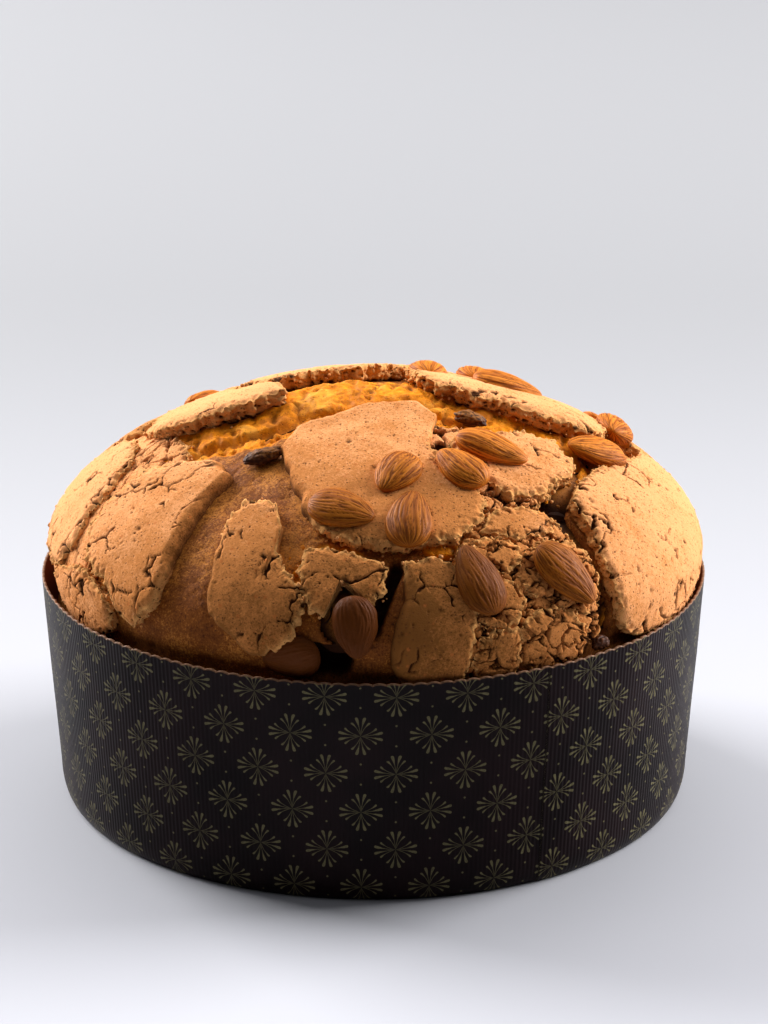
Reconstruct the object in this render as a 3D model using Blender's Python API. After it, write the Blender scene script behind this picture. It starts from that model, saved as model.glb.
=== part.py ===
"""Low panettone in its paper baking case, under a broken nut glaze with whole almonds.

The cake is one solid body that fills the case and domes over its rim. The glaze lies on
the dome as separate plates, and the almonds sit in sockets in the plates.

Places on the dome are given as (azimuth, arc): azimuth in degrees from the front, growing
to the right, and arc in millimetres along the skin from the top of the dome. Laid flat,
that is the plan: x to the right and y to the back. Front is -Y, and +Z is up.
"""
import math
from collections import namedtuple

import bmesh
import bpy
import numpy as np
from mathutils import Vector

MM = 0.001
SMOOTH_BELOW = 50

# Paper case: a cup of corrugated paper with a rounded foot.
RIM_RADIUS = 105 * MM
CASE_HEIGHT = 72 * MM
FOOT_RADIUS = 100.5 * MM
FOOT_HEIGHT = 9 * MM
FLOOR_RADIUS = 97.5 * MM
PAPER = 0.9 * MM
RIM_WAVE = 0.6 * MM
RIM_WAVES = 4
CASE_SIDES = 48
FOOT_STEPS = 3

# Cake: its dome is a superellipse above the widest ring and tucks in below it.
SKIN_RADIUS = 98.8 * MM
WIDEST_HEIGHT = 81 * MM
DOME_RISE = 46 * MM
FULLNESS = 1.65
TUCK = 11 * MM
TUCK_DEPTH = 24 * MM
CAKE_SIDES = 52
CAKE_ARCS = [arc * MM for arc in (8, 18, 29, 41, 54, 67, 80, 92, 103, 111, 118, 127)]
GAP = 0.4 * MM
WALL_CONTACT = 50 * MM
WALL_SHOULDER = (0.8 * MM, 8 * MM)
FOOT_BEVEL = (1.6 * MM, 2.2 * MM)
PROFILE_STEPS = (2000, 500)

# The torn ridge across the top, where the crumb has pushed up between the plates.
RIDGE_ENDS = ((-58 * MM, -6 * MM), (56 * MM, 2 * MM))
RIDGE_HEIGHT = 3 * MM
RIDGE_WIDTH = 17 * MM

# Splits and pits in the cake: both ends, half width and depth. A pit opens the glaze too.
Split = namedtuple("Split", "start end half_width depth")
SPLIT_FACETS = (10, 5)
SPLITS = {
    "pit_low": Split((-16, 119), (-2, 120), 6, 10),
    "pit_upper": Split((-6, 97), (-4, 108), 7.6, 11),
    "split_front": Split((5, 90), (1, 108), 3, 5),
    "split_left": Split((-78, 78), (-64, 84), 3, 4),
    "split_right_upper": Split((76, 66), (48, 78), 3.5, 6),
    "split_right_lower": Split((47, 82), (44, 116), 3.5, 6),
}

# Glaze plates: corners as (azimuth, arc), and how high the middle of the top lies in mm.
Plate = namedtuple("Plate", "corners top")
SEAT = 0.6 * MM
BEND_SEAT = 1.5 * MM
BEND_WIDTH = 12 * MM
EDGE_SHARE = 0.62
SHOULDER = 0.84
POINT_SPACING = 10 * MM
RING_SPACING = 16 * MM
FEWEST_POINTS = 12
SHOULDER_SPACING = 0.1
CURVE_STEPS = 12
PLATES = {
    "glaze_crown": Plate(
        [(-38, 45), (-38, 26), (-18, 19), (11, 15), (42, 19), (48, 26), (28, 38),
         (22, 50), (30, 68), (21, 81), (5, 84), (-10, 80), (-18, 69), (-28, 55)], 4.4),
    "glaze_crown_right": Plate(
        [(34, 43), (41, 40), (52, 44), (69, 53), (69, 63), (62, 70), (52, 70), (43, 73),
         (36, 67), (31, 55)], 4.4),
    "glaze_lifted_left": Plate(
        [(-73, 28), (-76, 46), (-79, 60), (-87, 69), (-100, 72), (-118, 75), (-126, 63),
         (-121, 50), (-108, 40), (-91, 29)], 4.9),
    "glaze_rim_left": Plate(
        [(-104, 91), (-97, 80), (-84, 77), (-77, 84), (-73, 97), (-69, 108), (-76, 113),
         (-90, 110), (-101, 102)], 4.4),
    "glaze_low_left": Plate(
        [(-74, 117), (-66, 112), (-59, 111), (-52, 114), (-51, 120), (-56, 125), (-66, 126)],
        3.9),
    "glaze_front_left": Plate(
        [(-70, 79), (-60, 63), (-47, 58), (-45, 67), (-44, 82), (-41, 99), (-41, 110),
         (-46, 117), (-51, 110), (-60, 106), (-67, 98), (-69, 88)], 4.4),
    "glaze_front_drip": Plate(
        [(-34, 80), (-34, 72), (-26, 69), (-21, 77), (-20, 88), (-15, 96), (-11, 107),
         (-15, 113), (-19, 122), (-23, 115), (-30, 109), (-32, 95)], 4.4),
    "glaze_front_middle": Plate(
        [(-14, 86), (-6, 85), (0, 88), (3, 93), (1, 101), (-3, 106), (-9, 106), (-13, 99)],
        4.4),
    "glaze_front_right": Plate(
        [(7, 91), (14, 91), (17, 101), (16, 112), (15, 123), (8, 123), (6, 115), (7, 104)],
        4.4),
    "glaze_chip_upper": Plate([(25, 81), (31, 75), (39, 77), (42, 85), (34, 85)], 3.9),
    "glaze_chip_middle": Plate(
        [(20, 87), (24, 84), (30, 88), (29, 93), (25, 95), (21, 92)], 3.9),
    "glaze_almond_bed": Plate(
        [(33, 89), (40, 90), (44, 98), (43, 107), (38, 111), (31, 106), (28, 98), (31, 91)],
        3.9),
    "glaze_almond_edge": Plate(
        [(20, 96), (25, 98), (27, 103), (26, 108), (22, 111), (18, 108), (19, 101)], 3.9),
    "glaze_low_middle": Plate([(19, 114), (24, 113), (24, 123), (20, 125), (17, 120)], 3.9),
    "glaze_low_right": Plate(
        [(26, 112), (30, 109), (37, 114), (39, 120), (32, 125), (26, 122)], 3.9),
    "glaze_right": Plate(
        [(51, 79), (62, 74), (77, 77), (90, 84), (102, 92), (98, 107), (88, 117),
         (74, 125), (56, 124), (47, 120), (47, 111), (46, 103), (49, 92)], 4.9),
    "glaze_back_right": Plate(
        [(128, 16), (92, 14), (77, 30), (79, 46), (82, 60), (90, 71), (106, 72),
         (122, 66), (138, 56), (150, 40), (150, 24)], 4.9),
    "glaze_back_left": Plate(
        [(-112, 36), (-132, 25), (-172, 18), (172, 27), (164, 44), (172, 60), (-168, 66),
         (-148, 64), (-132, 55), (-124, 45)], 4.9),
    "glaze_rear_right": Plate(
        [(110, 80), (124, 74), (140, 66), (152, 62), (156, 80), (152, 100), (138, 114),
         (122, 118), (110, 110), (107, 94)], 4.4),
    "glaze_rear_middle": Plate(
        [(162, 68), (176, 69), (-170, 74), (-163, 88), (-168, 104), (178, 110),
         (164, 102), (160, 84)], 4.4),
    "glaze_rear_left": Plate(
        [(-110, 86), (-122, 80), (-136, 68), (-150, 72), (-158, 86), (-156, 104),
         (-142, 116), (-124, 118), (-110, 106)], 4.4),
    "glaze_rear_low": Plate(
        [(168, 110), (-176, 115), (-160, 110), (-156, 119), (-170, 125), (172, 124)], 3.9),
}

# Almonds: places of the tip and of the blunt end, and how high the middle lies in mm.
Almond = namedtuple("Almond", "tip blunt rise")
ALMOND_WIDTH = 13.8 * MM
ALMOND_THICKNESS = 7.6 * MM
ALMOND_SIDES = 8
ALMOND_STATIONS = (-0.82, -0.42, 0.12, 0.66)
ALMOND_TAPER = 0.24
SOCKET_CLEARANCE = 0.45 * MM
ALMONDS = {
    "almond_crown_left": Almond((1, 74), (-16, 69), 5.2),
    "almond_crown_top": Almond((2, 64), (12, 48), 5.4),
    "almond_crown_low": Almond((10, 64), (7, 86), 5.0),
    "almond_crown_notch": Almond((24, 48), (31, 66), 5.8),
    "almond_crown_right": Almond((51, 61), (36, 42), 5.6),
    "almond_front_left": Almond((18, 86), (21, 109), 4.6),
    "almond_front_right": Almond((40, 111), (33, 90), 5.0),
    "almond_pit_upper": Almond((-5, 113), (-6, 95), -5.4),
    "almond_pit_front": Almond((-2, 118), (-4, 99), 2.8),
    "almond_pit_deep": Almond((-19, 120), (-9, 116), 0),
    "almond_right_crack": Almond((72, 63), (85, 79), 4.0),
    "almond_right_edge": Almond((97, 76), (112, 84), 5.4),
    "almond_back_left": Almond((160, 45), (141, 25), 3.6),
    "almond_back_middle": Almond((146, 56), (125, 38), 4.2),
    "almond_back_right": Almond((101, 53), (107, 31), 5.2),
    "almond_rear_right": Almond((126, 90), (134, 108), 5.2),
    "almond_rear_middle": Almond((178, 76), (166, 92), 5.2),
    "almond_rear_left": Almond((-134, 84), (-146, 98), 5.2),
}

# Raisins: place, height of the middle, and long direction in the plan in degrees.
Raisin = namedtuple("Raisin", "place rise heading length width height")
RAISIN_FACETS = (8, 5)
RAISINS = {
    "raisin_left": Raisin((-42, 50), 2.2, 10, 13, 6.5, 5),
    "raisin_back": Raisin((57, 35), 3.4, -12, 11, 7, 5),
    "raisin_low_right": Raisin((42, 121), 3.0, 80, 7, 5, 4.5),
}

FINISHES = {
    "paper": ((0.035, 0.016, 0.016), 0.6),
    "crust": ((0.42, 0.19, 0.06), 0.7),
    "glaze": ((0.58, 0.33, 0.16), 0.85),
    "almond": ((0.30, 0.11, 0.035), 0.55),
    "raisin": ((0.05, 0.018, 0.015), 0.4),
}


def clear_scene():
    """Remove every object of the open scene."""
    for thing in list(bpy.data.objects):
        bpy.data.objects.remove(thing, do_unlink=True)


def finish(name):
    """The named finish as a material, made once."""
    found = bpy.data.materials.get(name)
    if found:
        return found
    colour, roughness = FINISHES[name]
    made = bpy.data.materials.new(name)
    made.use_nodes = True
    shader = made.node_tree.nodes["Principled BSDF"]
    shader.inputs["Base Color"].default_value = (*colour, 1)
    shader.inputs["Roughness"].default_value = roughness
    shader.inputs["Metallic"].default_value = 0
    return made


def dome_profile():
    """Arc, radius and height along the smooth skin, from the apex down."""
    turn = np.linspace(math.pi / 2, 0, PROFILE_STEPS[0])
    radius = SKIN_RADIUS * np.cos(turn) ** (2 / FULLNESS)
    height = WIDEST_HEIGHT + DOME_RISE * np.sin(turn) ** (2 / FULLNESS)
    turn = np.linspace(0, math.pi / 2, PROFILE_STEPS[1])[1:]
    radius = np.append(radius, SKIN_RADIUS - TUCK * (1 - np.cos(turn)))
    height = np.append(height, WIDEST_HEIGHT - TUCK_DEPTH * np.sin(turn))
    arc = np.append(0, np.cumsum(np.hypot(np.diff(radius), np.diff(height))))
    return arc, radius, height


ARC, ARC_RADIUS, ARC_HEIGHT = dome_profile()


def plan_point(azimuth, arc):
    """Flat-plan position of a place given as azimuth in degrees and arc."""
    turn = math.radians(azimuth)
    return arc * math.sin(turn), -arc * math.cos(turn)


def ridge(plan):
    """Height that the torn ridge adds: a bell across the line between its ends."""
    start, end = (np.array(point) for point in RIDGE_ENDS)
    run = end - start
    share = np.clip((plan - start) @ run / (run @ run), 0, 1)
    away = np.linalg.norm(plan - start - share[..., None] * run, axis=-1)
    return RIDGE_HEIGHT * np.exp(-(away / RIDGE_WIDTH) ** 2)


def on_dome(plan, lift):
    """Points of the plan (n, 2), raised by lift along the dome's normal above the cake."""
    arc = np.hypot(plan[:, 0], plan[:, 1])
    turn = np.arctan2(plan[:, 0], -plan[:, 1])
    step = 0.5 * MM
    low, high = np.maximum(arc - step, 0), arc + step
    run = np.interp(high, ARC, ARC_RADIUS) - np.interp(low, ARC, ARC_RADIUS)
    fall = np.interp(high, ARC, ARC_HEIGHT) - np.interp(low, ARC, ARC_HEIGHT)
    length = np.hypot(run, fall)
    rise = lift + ridge(plan)
    radius = np.interp(arc, ARC, ARC_RADIUS) - fall / length * rise
    height = np.interp(arc, ARC, ARC_HEIGHT) + run / length * rise
    return np.column_stack((radius * np.sin(turn), -radius * np.cos(turn), height))


def place(azimuth, arc_mm, lift):
    """One raised point of the dome as a vector."""
    plan = np.array([plan_point(azimuth, arc_mm * MM)])
    return Vector(on_dome(plan, lift)[0])


def dome_normal(azimuth, arc_mm):
    """Unit normal of the dome at a place."""
    return (place(azimuth, arc_mm, MM) - place(azimuth, arc_mm, 0)).normalized()


def add_object(name, mesh, finish_name):
    """Link a mesh as a named object, shaded smooth but for its sharp edges."""
    mesh.materials.append(finish(finish_name))
    mesh.shade_smooth()
    mesh.set_sharp_from_angle(angle=math.radians(SMOOTH_BELOW))
    made = bpy.data.objects.new(name, mesh)
    bpy.context.collection.objects.link(made)
    return made


def stacked_rings(name, rings, first_pole, last_pole):
    """Closed mesh from equal rings of points between two poles, faces pointing out."""
    count = len(rings[0])
    points = [first_pole, *(point for ring in rings for point in ring), last_pole]
    last = len(points) - 1
    faces = []
    for side in range(count):
        after = (side + 1) % count
        faces.append((0, 1 + side, 1 + after))
        faces.append((last, last - count + after, last - count + side))
        for ring in range(len(rings) - 1):
            upper, lower = 1 + ring * count, 1 + (ring + 1) * count
            faces.append((upper + side, lower + side, lower + after, upper + after))
    mesh = bpy.data.meshes.new(name)
    mesh.from_pydata([tuple(point) for point in points], [], faces)
    work = bmesh.new()
    work.from_mesh(mesh)
    bmesh.ops.recalc_face_normals(work, faces=work.faces)
    work.to_mesh(mesh)
    work.free()
    return mesh


def case_radius(height):
    """Outer radius of the case wall at a height above its foot."""
    share = (height - FOOT_HEIGHT) / (CASE_HEIGHT - FOOT_HEIGHT)
    return FOOT_RADIUS + share * (RIM_RADIUS - FOOT_RADIUS)


def case_outline(inset):
    """Radius and height from the edge of the floor up to the rim, inset from the outside."""
    outline = []
    for step in range(FOOT_STEPS + 1):
        turn = step / FOOT_STEPS * math.pi / 2
        outline.append((FLOOR_RADIUS + (FOOT_RADIUS - inset - FLOOR_RADIUS) * math.sin(turn),
                        FOOT_HEIGHT - (FOOT_HEIGHT - inset) * math.cos(turn)))
    for height in ((FOOT_HEIGHT + CASE_HEIGHT) / 2, CASE_HEIGHT):
        outline.append((case_radius(height) - inset, height))
    return outline


def build_case():
    """Paper case: up the outside, over the rim and down the inside, waved near the rim."""
    turns = np.arange(CASE_SIDES) * math.tau / CASE_SIDES
    wave = RIM_WAVE * np.sin(RIM_WAVES * turns)
    rings = []
    for radius, height in case_outline(0) + case_outline(PAPER)[::-1]:
        waved = radius + wave * (height / CASE_HEIGHT) ** 2
        rings.append(np.column_stack((waved * np.cos(turns), waved * np.sin(turns),
                                      np.full(CASE_SIDES, height))))
    mesh = stacked_rings("paper_case", rings, (0, 0, 0), (0, 0, PAPER))
    add_object("paper_case", mesh, "paper")


def cake_rings():
    """Rings of the cake: down the dome, out to the case wall and in under the floor."""
    turns = np.arange(CAKE_SIDES) * math.tau / CAKE_SIDES
    rings = []
    for arc in CAKE_ARCS:
        plan = np.column_stack((arc * np.sin(turns), -arc * np.cos(turns)))
        rings.append(on_dome(plan, 0))
    shrink = PAPER + GAP + RIM_WAVE / 2
    floor = PAPER + GAP
    wall = case_radius(WALL_CONTACT) - shrink
    lower = [
        (wall - WALL_SHOULDER[0], WALL_CONTACT + WALL_SHOULDER[1]),
        (wall, WALL_CONTACT),
        (FOOT_RADIUS - shrink, FOOT_HEIGHT),
        (FOOT_RADIUS - shrink - FOOT_BEVEL[0], floor + FOOT_BEVEL[1]),
        (FLOOR_RADIUS - shrink - FOOT_BEVEL[0], floor),
    ]
    for radius, height in lower:
        rings.append(np.column_stack((radius * np.sin(turns), -radius * np.cos(turns),
                                      np.full(CAKE_SIDES, height))))
    return rings


def ellipsoid(name, centre, axes, radii, facets):
    """Ellipsoid mesh with its poles on the first axis; facets are its sides and bands."""
    sides, bands = facets
    rings = []
    for band in range(1, bands):
        polar = band * math.pi / bands
        ring = []
        for side in range(sides):
            turn = side * math.tau / sides
            ring.append(centre + axes[0] * (radii[0] * math.cos(polar))
                        + axes[1] * (radii[1] * math.sin(polar) * math.cos(turn))
                        + axes[2] * (radii[2] * math.sin(polar) * math.sin(turn)))
        rings.append(ring)
    return stacked_rings(name, rings, centre + axes[0] * radii[0],
                         centre - axes[0] * radii[0])


def cut(target, cutter):
    """Cut a hidden tool object out of the target."""
    cutter.hide_render = True
    cutter.display_type = "WIRE"
    step = target.modifiers.new(cutter.name, "BOOLEAN")
    step.operation = "DIFFERENCE"
    step.solver = "EXACT"
    step.object = cutter


def build_cake():
    """Cake body: its rings closed at the top of the dome and in the middle of the floor."""
    rings = cake_rings()
    top = on_dome(np.zeros((1, 2)), 0)[0]
    mesh = stacked_rings("cake", rings, top, (0, 0, rings[-1][0][2]))
    add_object("cake", mesh, "crust")


def cut_splits():
    """Long hollows along the splits of the cake; a pit opens the glaze over it too."""
    for name, split in SPLITS.items():
        start, end = place(*split.start, 0), place(*split.end, 0)
        along = (end - start).normalized()
        middle = [(a + b) / 2 for a, b in zip(split.start, split.end)]
        across = dome_normal(*middle).cross(along).normalized()
        radii = ((end - start).length / 2 + split.half_width * MM,
                 split.half_width * MM, split.depth * MM)
        hollow = ellipsoid("hollow_" + name, (start + end) / 2,
                           (along, across, along.cross(across)), radii, SPLIT_FACETS)
        tool = add_object("hollow_" + name, hollow, "crust")
        cut_where_close(hosts("cake", "glaze" if name.startswith("pit") else "cake"), tool)


def rounded_outline(corners):
    """Closed Catmull-Rom curve through the corners, spaced out evenly."""
    knots = np.array([plan_point(azimuth, arc * MM) for azimuth, arc in corners])
    before, after, beyond = (np.roll(knots, shift, axis=0) for shift in (1, -1, -2))
    share = np.linspace(0, 1, CURVE_STEPS, endpoint=False)[:, None, None]
    curve = 0.5 * (2 * knots + (after - before) * share
                   + (2 * before - 5 * knots + 4 * after - beyond) * share ** 2
                   + (3 * knots - before - 3 * after + beyond) * share ** 3)
    curve = np.concatenate(curve.transpose(1, 0, 2))
    closed = np.vstack((curve, curve[:1]))
    length = np.append(0, np.cumsum(np.linalg.norm(np.diff(closed, axis=0), axis=1)))
    count = max(FEWEST_POINTS, round(length[-1] / POINT_SPACING))
    even = np.linspace(0, length[-1], count, endpoint=False)
    return np.column_stack([np.interp(even, length, closed[:, axis]) for axis in (0, 1)])


def seat(plan):
    """Gap under the glaze, a little wider where the dome bends sharply at its widest."""
    widest = ARC[np.argmax(ARC_RADIUS)]
    away = (np.hypot(plan[:, 0], plan[:, 1]) - widest) / BEND_WIDTH
    return SEAT + BEND_SEAT * np.exp(-away ** 2)


def build_plate(name, plate):
    """Glaze plate: rings of its outline, shrunk to the middle, above and below."""
    outline = rounded_outline(plate.corners)
    middle = outline.mean(axis=0)
    reach = np.linalg.norm(outline - middle, axis=1).max()
    steps = max(1, math.ceil(reach / RING_SPACING))
    below = [step / steps for step in range(steps, 0, -1)]
    above = [share for share in below[::-1] if share < SHOULDER - SHOULDER_SPACING]
    thickness = plate.top * MM
    rings = []
    for share in [*above, SHOULDER, 1]:
        ring = middle + (outline - middle) * share
        depth = (thickness - seat(ring)) * (EDGE_SHARE if share == 1 else 1)
        rings.append(on_dome(ring, seat(ring) + depth))
    for share in below:
        ring = middle + (outline - middle) * share
        rings.append(on_dome(ring, seat(ring)))
    pair = np.array([middle, middle])
    poles = on_dome(pair, np.array([thickness, seat(pair)[1]]))
    add_object(name, stacked_rings(name, rings, poles[0], poles[1]), "glaze")


def almond_frame(almond):
    """Middle, axes and half length: to the tip, across, and out of the dome."""
    tip, blunt = place(*almond.tip, 0), place(*almond.blunt, 0)
    middle = [(a + b) / 2 for a, b in zip(almond.tip, almond.blunt)]
    along = (tip - blunt).normalized()
    across = dome_normal(*middle).cross(along).normalized()
    outward = along.cross(across).normalized()
    half = (tip - blunt).length / 2
    return place(*middle, almond.rise * MM), (along, across, outward), half


def almond_mesh(name, almond, grow):
    """Teardrop almond: an oval section that swells past the blunt end and comes to a tip."""
    middle, (along, across, outward), half = almond_frame(almond)
    half += grow
    rings = []
    for station in ALMOND_STATIONS:
        swell = math.sqrt(1 - station ** 2) * (1 - ALMOND_TAPER * station)
        ring = []
        for side in range(ALMOND_SIDES):
            turn = side * math.tau / ALMOND_SIDES
            ring.append(middle + along * (half * station)
                        + across * ((ALMOND_WIDTH / 2 * swell + grow) * math.cos(turn))
                        + outward * ((ALMOND_THICKNESS / 2 * swell + grow) * math.sin(turn)))
        rings.append(ring)
    return stacked_rings(name, rings, middle - along * half, middle + along * half)


def bounds(thing):
    """Lowest and highest corner of an object's base mesh."""
    corners = np.array([corner.co for corner in thing.data.vertices])
    return corners.min(axis=0), corners.max(axis=0)


def hosts(*starts):
    """Objects whose names start in one of the given ways."""
    return [thing for thing in bpy.data.objects if thing.name.startswith(starts)]


def cut_where_close(targets, tool):
    """Cut a tool out of each target whose box meets the tool's box."""
    low, high = bounds(tool)
    for host in targets:
        host_low, host_high = bounds(host)
        if (host_low < high).all() and (low < host_high).all():
            cut(host, tool)


def build_almonds():
    """Almonds, each with a socket cut in every plate it sinks into."""
    for name, almond in ALMONDS.items():
        add_object(name, almond_mesh(name, almond, 0), "almond")
        label = "socket_" + name
        socket = add_object(label, almond_mesh(label, almond, SOCKET_CLEARANCE), "almond")
        cut_where_close(hosts("cake", "glaze"), socket)


def build_raisins():
    """Raisins, lying in the glaze and the crust in sockets of their own."""
    for name, raisin in RAISINS.items():
        centre = place(*raisin.place, raisin.rise * MM)
        normal = dome_normal(*raisin.place)
        heading = math.radians(raisin.heading)
        flat = Vector((math.cos(heading), math.sin(heading), 0))
        across = normal.cross(flat).normalized()
        axes = (across.cross(normal), across, normal)
        radii = [size * MM / 2 for size in (raisin.length, raisin.width, raisin.height)]
        mesh = ellipsoid(name, centre, axes, radii, RAISIN_FACETS)
        add_object(name, mesh, "raisin")
        grown = [radius + SOCKET_CLEARANCE for radius in radii]
        label = "socket_" + name
        hollow = ellipsoid(label, centre, axes, grown, RAISIN_FACETS)
        socket = add_object(label, hollow, "raisin")
        cut_where_close(hosts("cake", "glaze"), socket)


def main():
    """Build the case, the cake, the glaze and what lies in it."""
    clear_scene()
    build_case()
    build_cake()
    for name, plate in PLATES.items():
        build_plate(name, plate)
    cut_splits()
    build_almonds()
    build_raisins()


main()
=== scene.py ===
"""Looks of a low panettone: torn crust, broken nut glaze, almonds and a printed paper case.

Lengths inside the classes are millimetres; meshes are written in metres. The plan is the
skin of the dome laid flat: x to the right, y to the back, both measured along the skin
from the top of the dome. The lift is the height above the skin along its normal.
"""
from __future__ import annotations

import itertools
import logging
import math
from dataclasses import dataclass, field
from enum import Enum, IntEnum

import bpy
import numpy as np
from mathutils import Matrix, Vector

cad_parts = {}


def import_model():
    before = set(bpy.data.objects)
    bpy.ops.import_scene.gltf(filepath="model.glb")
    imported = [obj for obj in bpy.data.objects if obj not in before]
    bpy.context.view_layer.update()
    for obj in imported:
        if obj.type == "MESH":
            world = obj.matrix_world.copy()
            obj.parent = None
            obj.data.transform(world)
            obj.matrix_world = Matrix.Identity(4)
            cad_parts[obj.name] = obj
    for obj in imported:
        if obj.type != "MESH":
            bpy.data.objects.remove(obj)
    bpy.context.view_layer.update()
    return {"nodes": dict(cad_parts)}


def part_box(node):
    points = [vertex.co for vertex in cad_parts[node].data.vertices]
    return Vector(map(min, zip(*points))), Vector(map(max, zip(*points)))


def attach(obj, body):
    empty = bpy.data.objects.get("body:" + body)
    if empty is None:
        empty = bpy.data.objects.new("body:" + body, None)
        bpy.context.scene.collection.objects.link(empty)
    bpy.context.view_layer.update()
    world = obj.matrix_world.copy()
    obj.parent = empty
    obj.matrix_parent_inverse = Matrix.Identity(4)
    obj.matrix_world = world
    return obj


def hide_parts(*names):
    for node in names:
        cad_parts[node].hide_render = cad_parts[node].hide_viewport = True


LOG = logging.getLogger("panettone")
MM = 0.001
TURN = 2 * math.pi
HASH_SIZE = 256
OCTAVE_SHIFT = 17.3
SMOOTH_GAIN = 1.7
FRACTAL_GAIN = 0.62
FAR = 9.0


class Seed(IntEnum):
    """First seed of each kind of piece; numbered pieces count up from it."""

    CAKE = 71
    CASE = 211
    PLATE = 300
    ALMOND = 500
    RAISIN = 700
    BED = 800
    FIELD = 900
    CRUMBS = 977


# ---------------------------------------------------------------- noise fields


class Grain:
    """Seeded noise fields, evaluated on whole arrays of points in millimetres."""

    def __init__(self, seed: int) -> None:
        """Draw the hash table and the gradients.

        Args:
            seed: number that fixes every field of this grain.
        """
        rng = np.random.default_rng(seed)
        self.table = rng.permutation(HASH_SIZE)
        gradient = rng.normal(size=(HASH_SIZE, 3))
        self.gradient = gradient / np.linalg.norm(gradient, axis=1, keepdims=True)
        self.spot = rng.random((HASH_SIZE, 3))
        self.share = rng.random(HASH_SIZE)

    def _hash(self, cell: np.ndarray) -> np.ndarray:
        """Table entry of each integer cell, (n, 2) or (n, 3)."""
        found = self.table[cell[:, 0] & (HASH_SIZE - 1)]
        for axis in range(1, cell.shape[1]):
            found = self.table[(found + cell[:, axis]) & (HASH_SIZE - 1)]
        return found

    def smooth(self, points: np.ndarray, size: float) -> np.ndarray:
        """Gradient noise: dot products with cell corner gradients, blended by a quintic.

        Args:
            points: (n, 3) places.
            size: cell size.

        Returns:
            (n,) values, about -1 to 1.
        """
        scaled = points / size
        base = np.floor(scaled).astype(int)
        inside = scaled - base
        fade = inside ** 3 * (inside * (inside * 6 - 15) + 10)
        total = np.zeros(len(points))
        for corner in itertools.product((0, 1), repeat=3):
            step = np.array(corner)
            slope = self.gradient[self._hash(base + step)]
            weight = np.prod(np.where(step == 1, fade, 1 - fade), axis=1)
            total += weight * ((inside - step) * slope).sum(axis=1)
        return total * SMOOTH_GAIN

    def fractal(self, points: np.ndarray, size: float, octaves: int) -> np.ndarray:
        """Sum of smooth noise at halving sizes and strengths.

        Args:
            points: (n, 3) places.
            size: largest cell size.
            octaves: number of layers.

        Returns:
            (n,) values, about -1 to 1.
        """
        total = np.zeros(len(points))
        for octave in range(octaves):
            shifted = points + OCTAVE_SHIFT * octave
            total += self.smooth(shifted, size / 2 ** octave) / 2 ** octave
        return total * FRACTAL_GAIN

    def cells(self, points: np.ndarray, size: float) -> tuple[np.ndarray, ...]:
        """Distances to the nearest and second nearest seed of a jittered lattice.

        Args:
            points: (n, 2) or (n, 3) places.
            size: lattice pitch.

        Returns:
            (nearest, second, share): distances in millimetres, and a random number from
            0 to 1 that belongs to the nearest seed.
        """
        scaled = points / size
        base = np.floor(scaled).astype(int)
        depth = points.shape[1]
        nearest = np.full(len(points), FAR)
        second = np.full(len(points), FAR)
        share = np.zeros(len(points))
        for corner in itertools.product((-1, 0, 1), repeat=depth):
            cell = base + np.array(corner)
            key = self._hash(cell)
            seed = cell + self.spot[key][:, :depth]
            away = np.linalg.norm(scaled - seed, axis=1)
            closer = away < nearest
            second = np.where(closer, nearest, np.minimum(second, away))
            share = np.where(closer, self.share[key], share)
            nearest = np.where(closer, away, nearest)
        return nearest * size, second * size, share


def bell(away: np.ndarray, width: float) -> np.ndarray:
    """One at zero, falling as a Gaussian of the given width."""
    return np.exp(-((away / width) ** 2))


def ease(value: np.ndarray, low: float, high: float) -> np.ndarray:
    """Smooth step from 0 at low to 1 at high."""
    share = np.clip((value - low) / (high - low), 0, 1)
    return share * share * (3 - 2 * share)


def bowl(away: np.ndarray, radius: float | np.ndarray) -> np.ndarray:
    """Paraboloid: one at zero and nothing beyond the radius."""
    return np.clip(1 - (away / radius) ** 2, 0, 1)


def headings(count: int) -> np.ndarray:
    """Even angles round a full turn."""
    return np.arange(count) * TURN / count


def ways(turn: np.ndarray) -> np.ndarray:
    """Unit plan vectors at headings, (n, 2)."""
    return np.column_stack((np.cos(turn), np.sin(turn)))


def turn_from(turn: np.ndarray, heading: float) -> np.ndarray:
    """Signed turn of each angle from a heading in degrees, -pi to pi."""
    return np.angle(np.exp(1j * (turn - math.radians(heading))))


def turned(radius: float | np.ndarray, turn: np.ndarray) -> np.ndarray:
    """Plan places at a radius and a turn from the front, (n, 2)."""
    return np.column_stack((radius * np.sin(turn), -radius * np.cos(turn)))


def flat_place(plan: np.ndarray) -> np.ndarray:
    """Plan places as points at height 0."""
    return np.column_stack((plan, np.zeros(len(plan))))


def grid(first: np.ndarray, second: np.ndarray) -> tuple[np.ndarray, np.ndarray]:
    """Every pair of two lines of numbers, flat, with the second running fastest."""
    one, two = np.meshgrid(first, second, indexing="ij")
    return one.ravel(), two.ravel()


def ball_grid(stations: int, sides: int) -> tuple[np.ndarray, np.ndarray]:
    """Polar angle and turn of each point of a ball's rings, without its poles."""
    return grid(np.linspace(0, math.pi, stations + 2)[1:-1], headings(sides))


# ---------------------------------------------------------------- meshes


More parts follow.
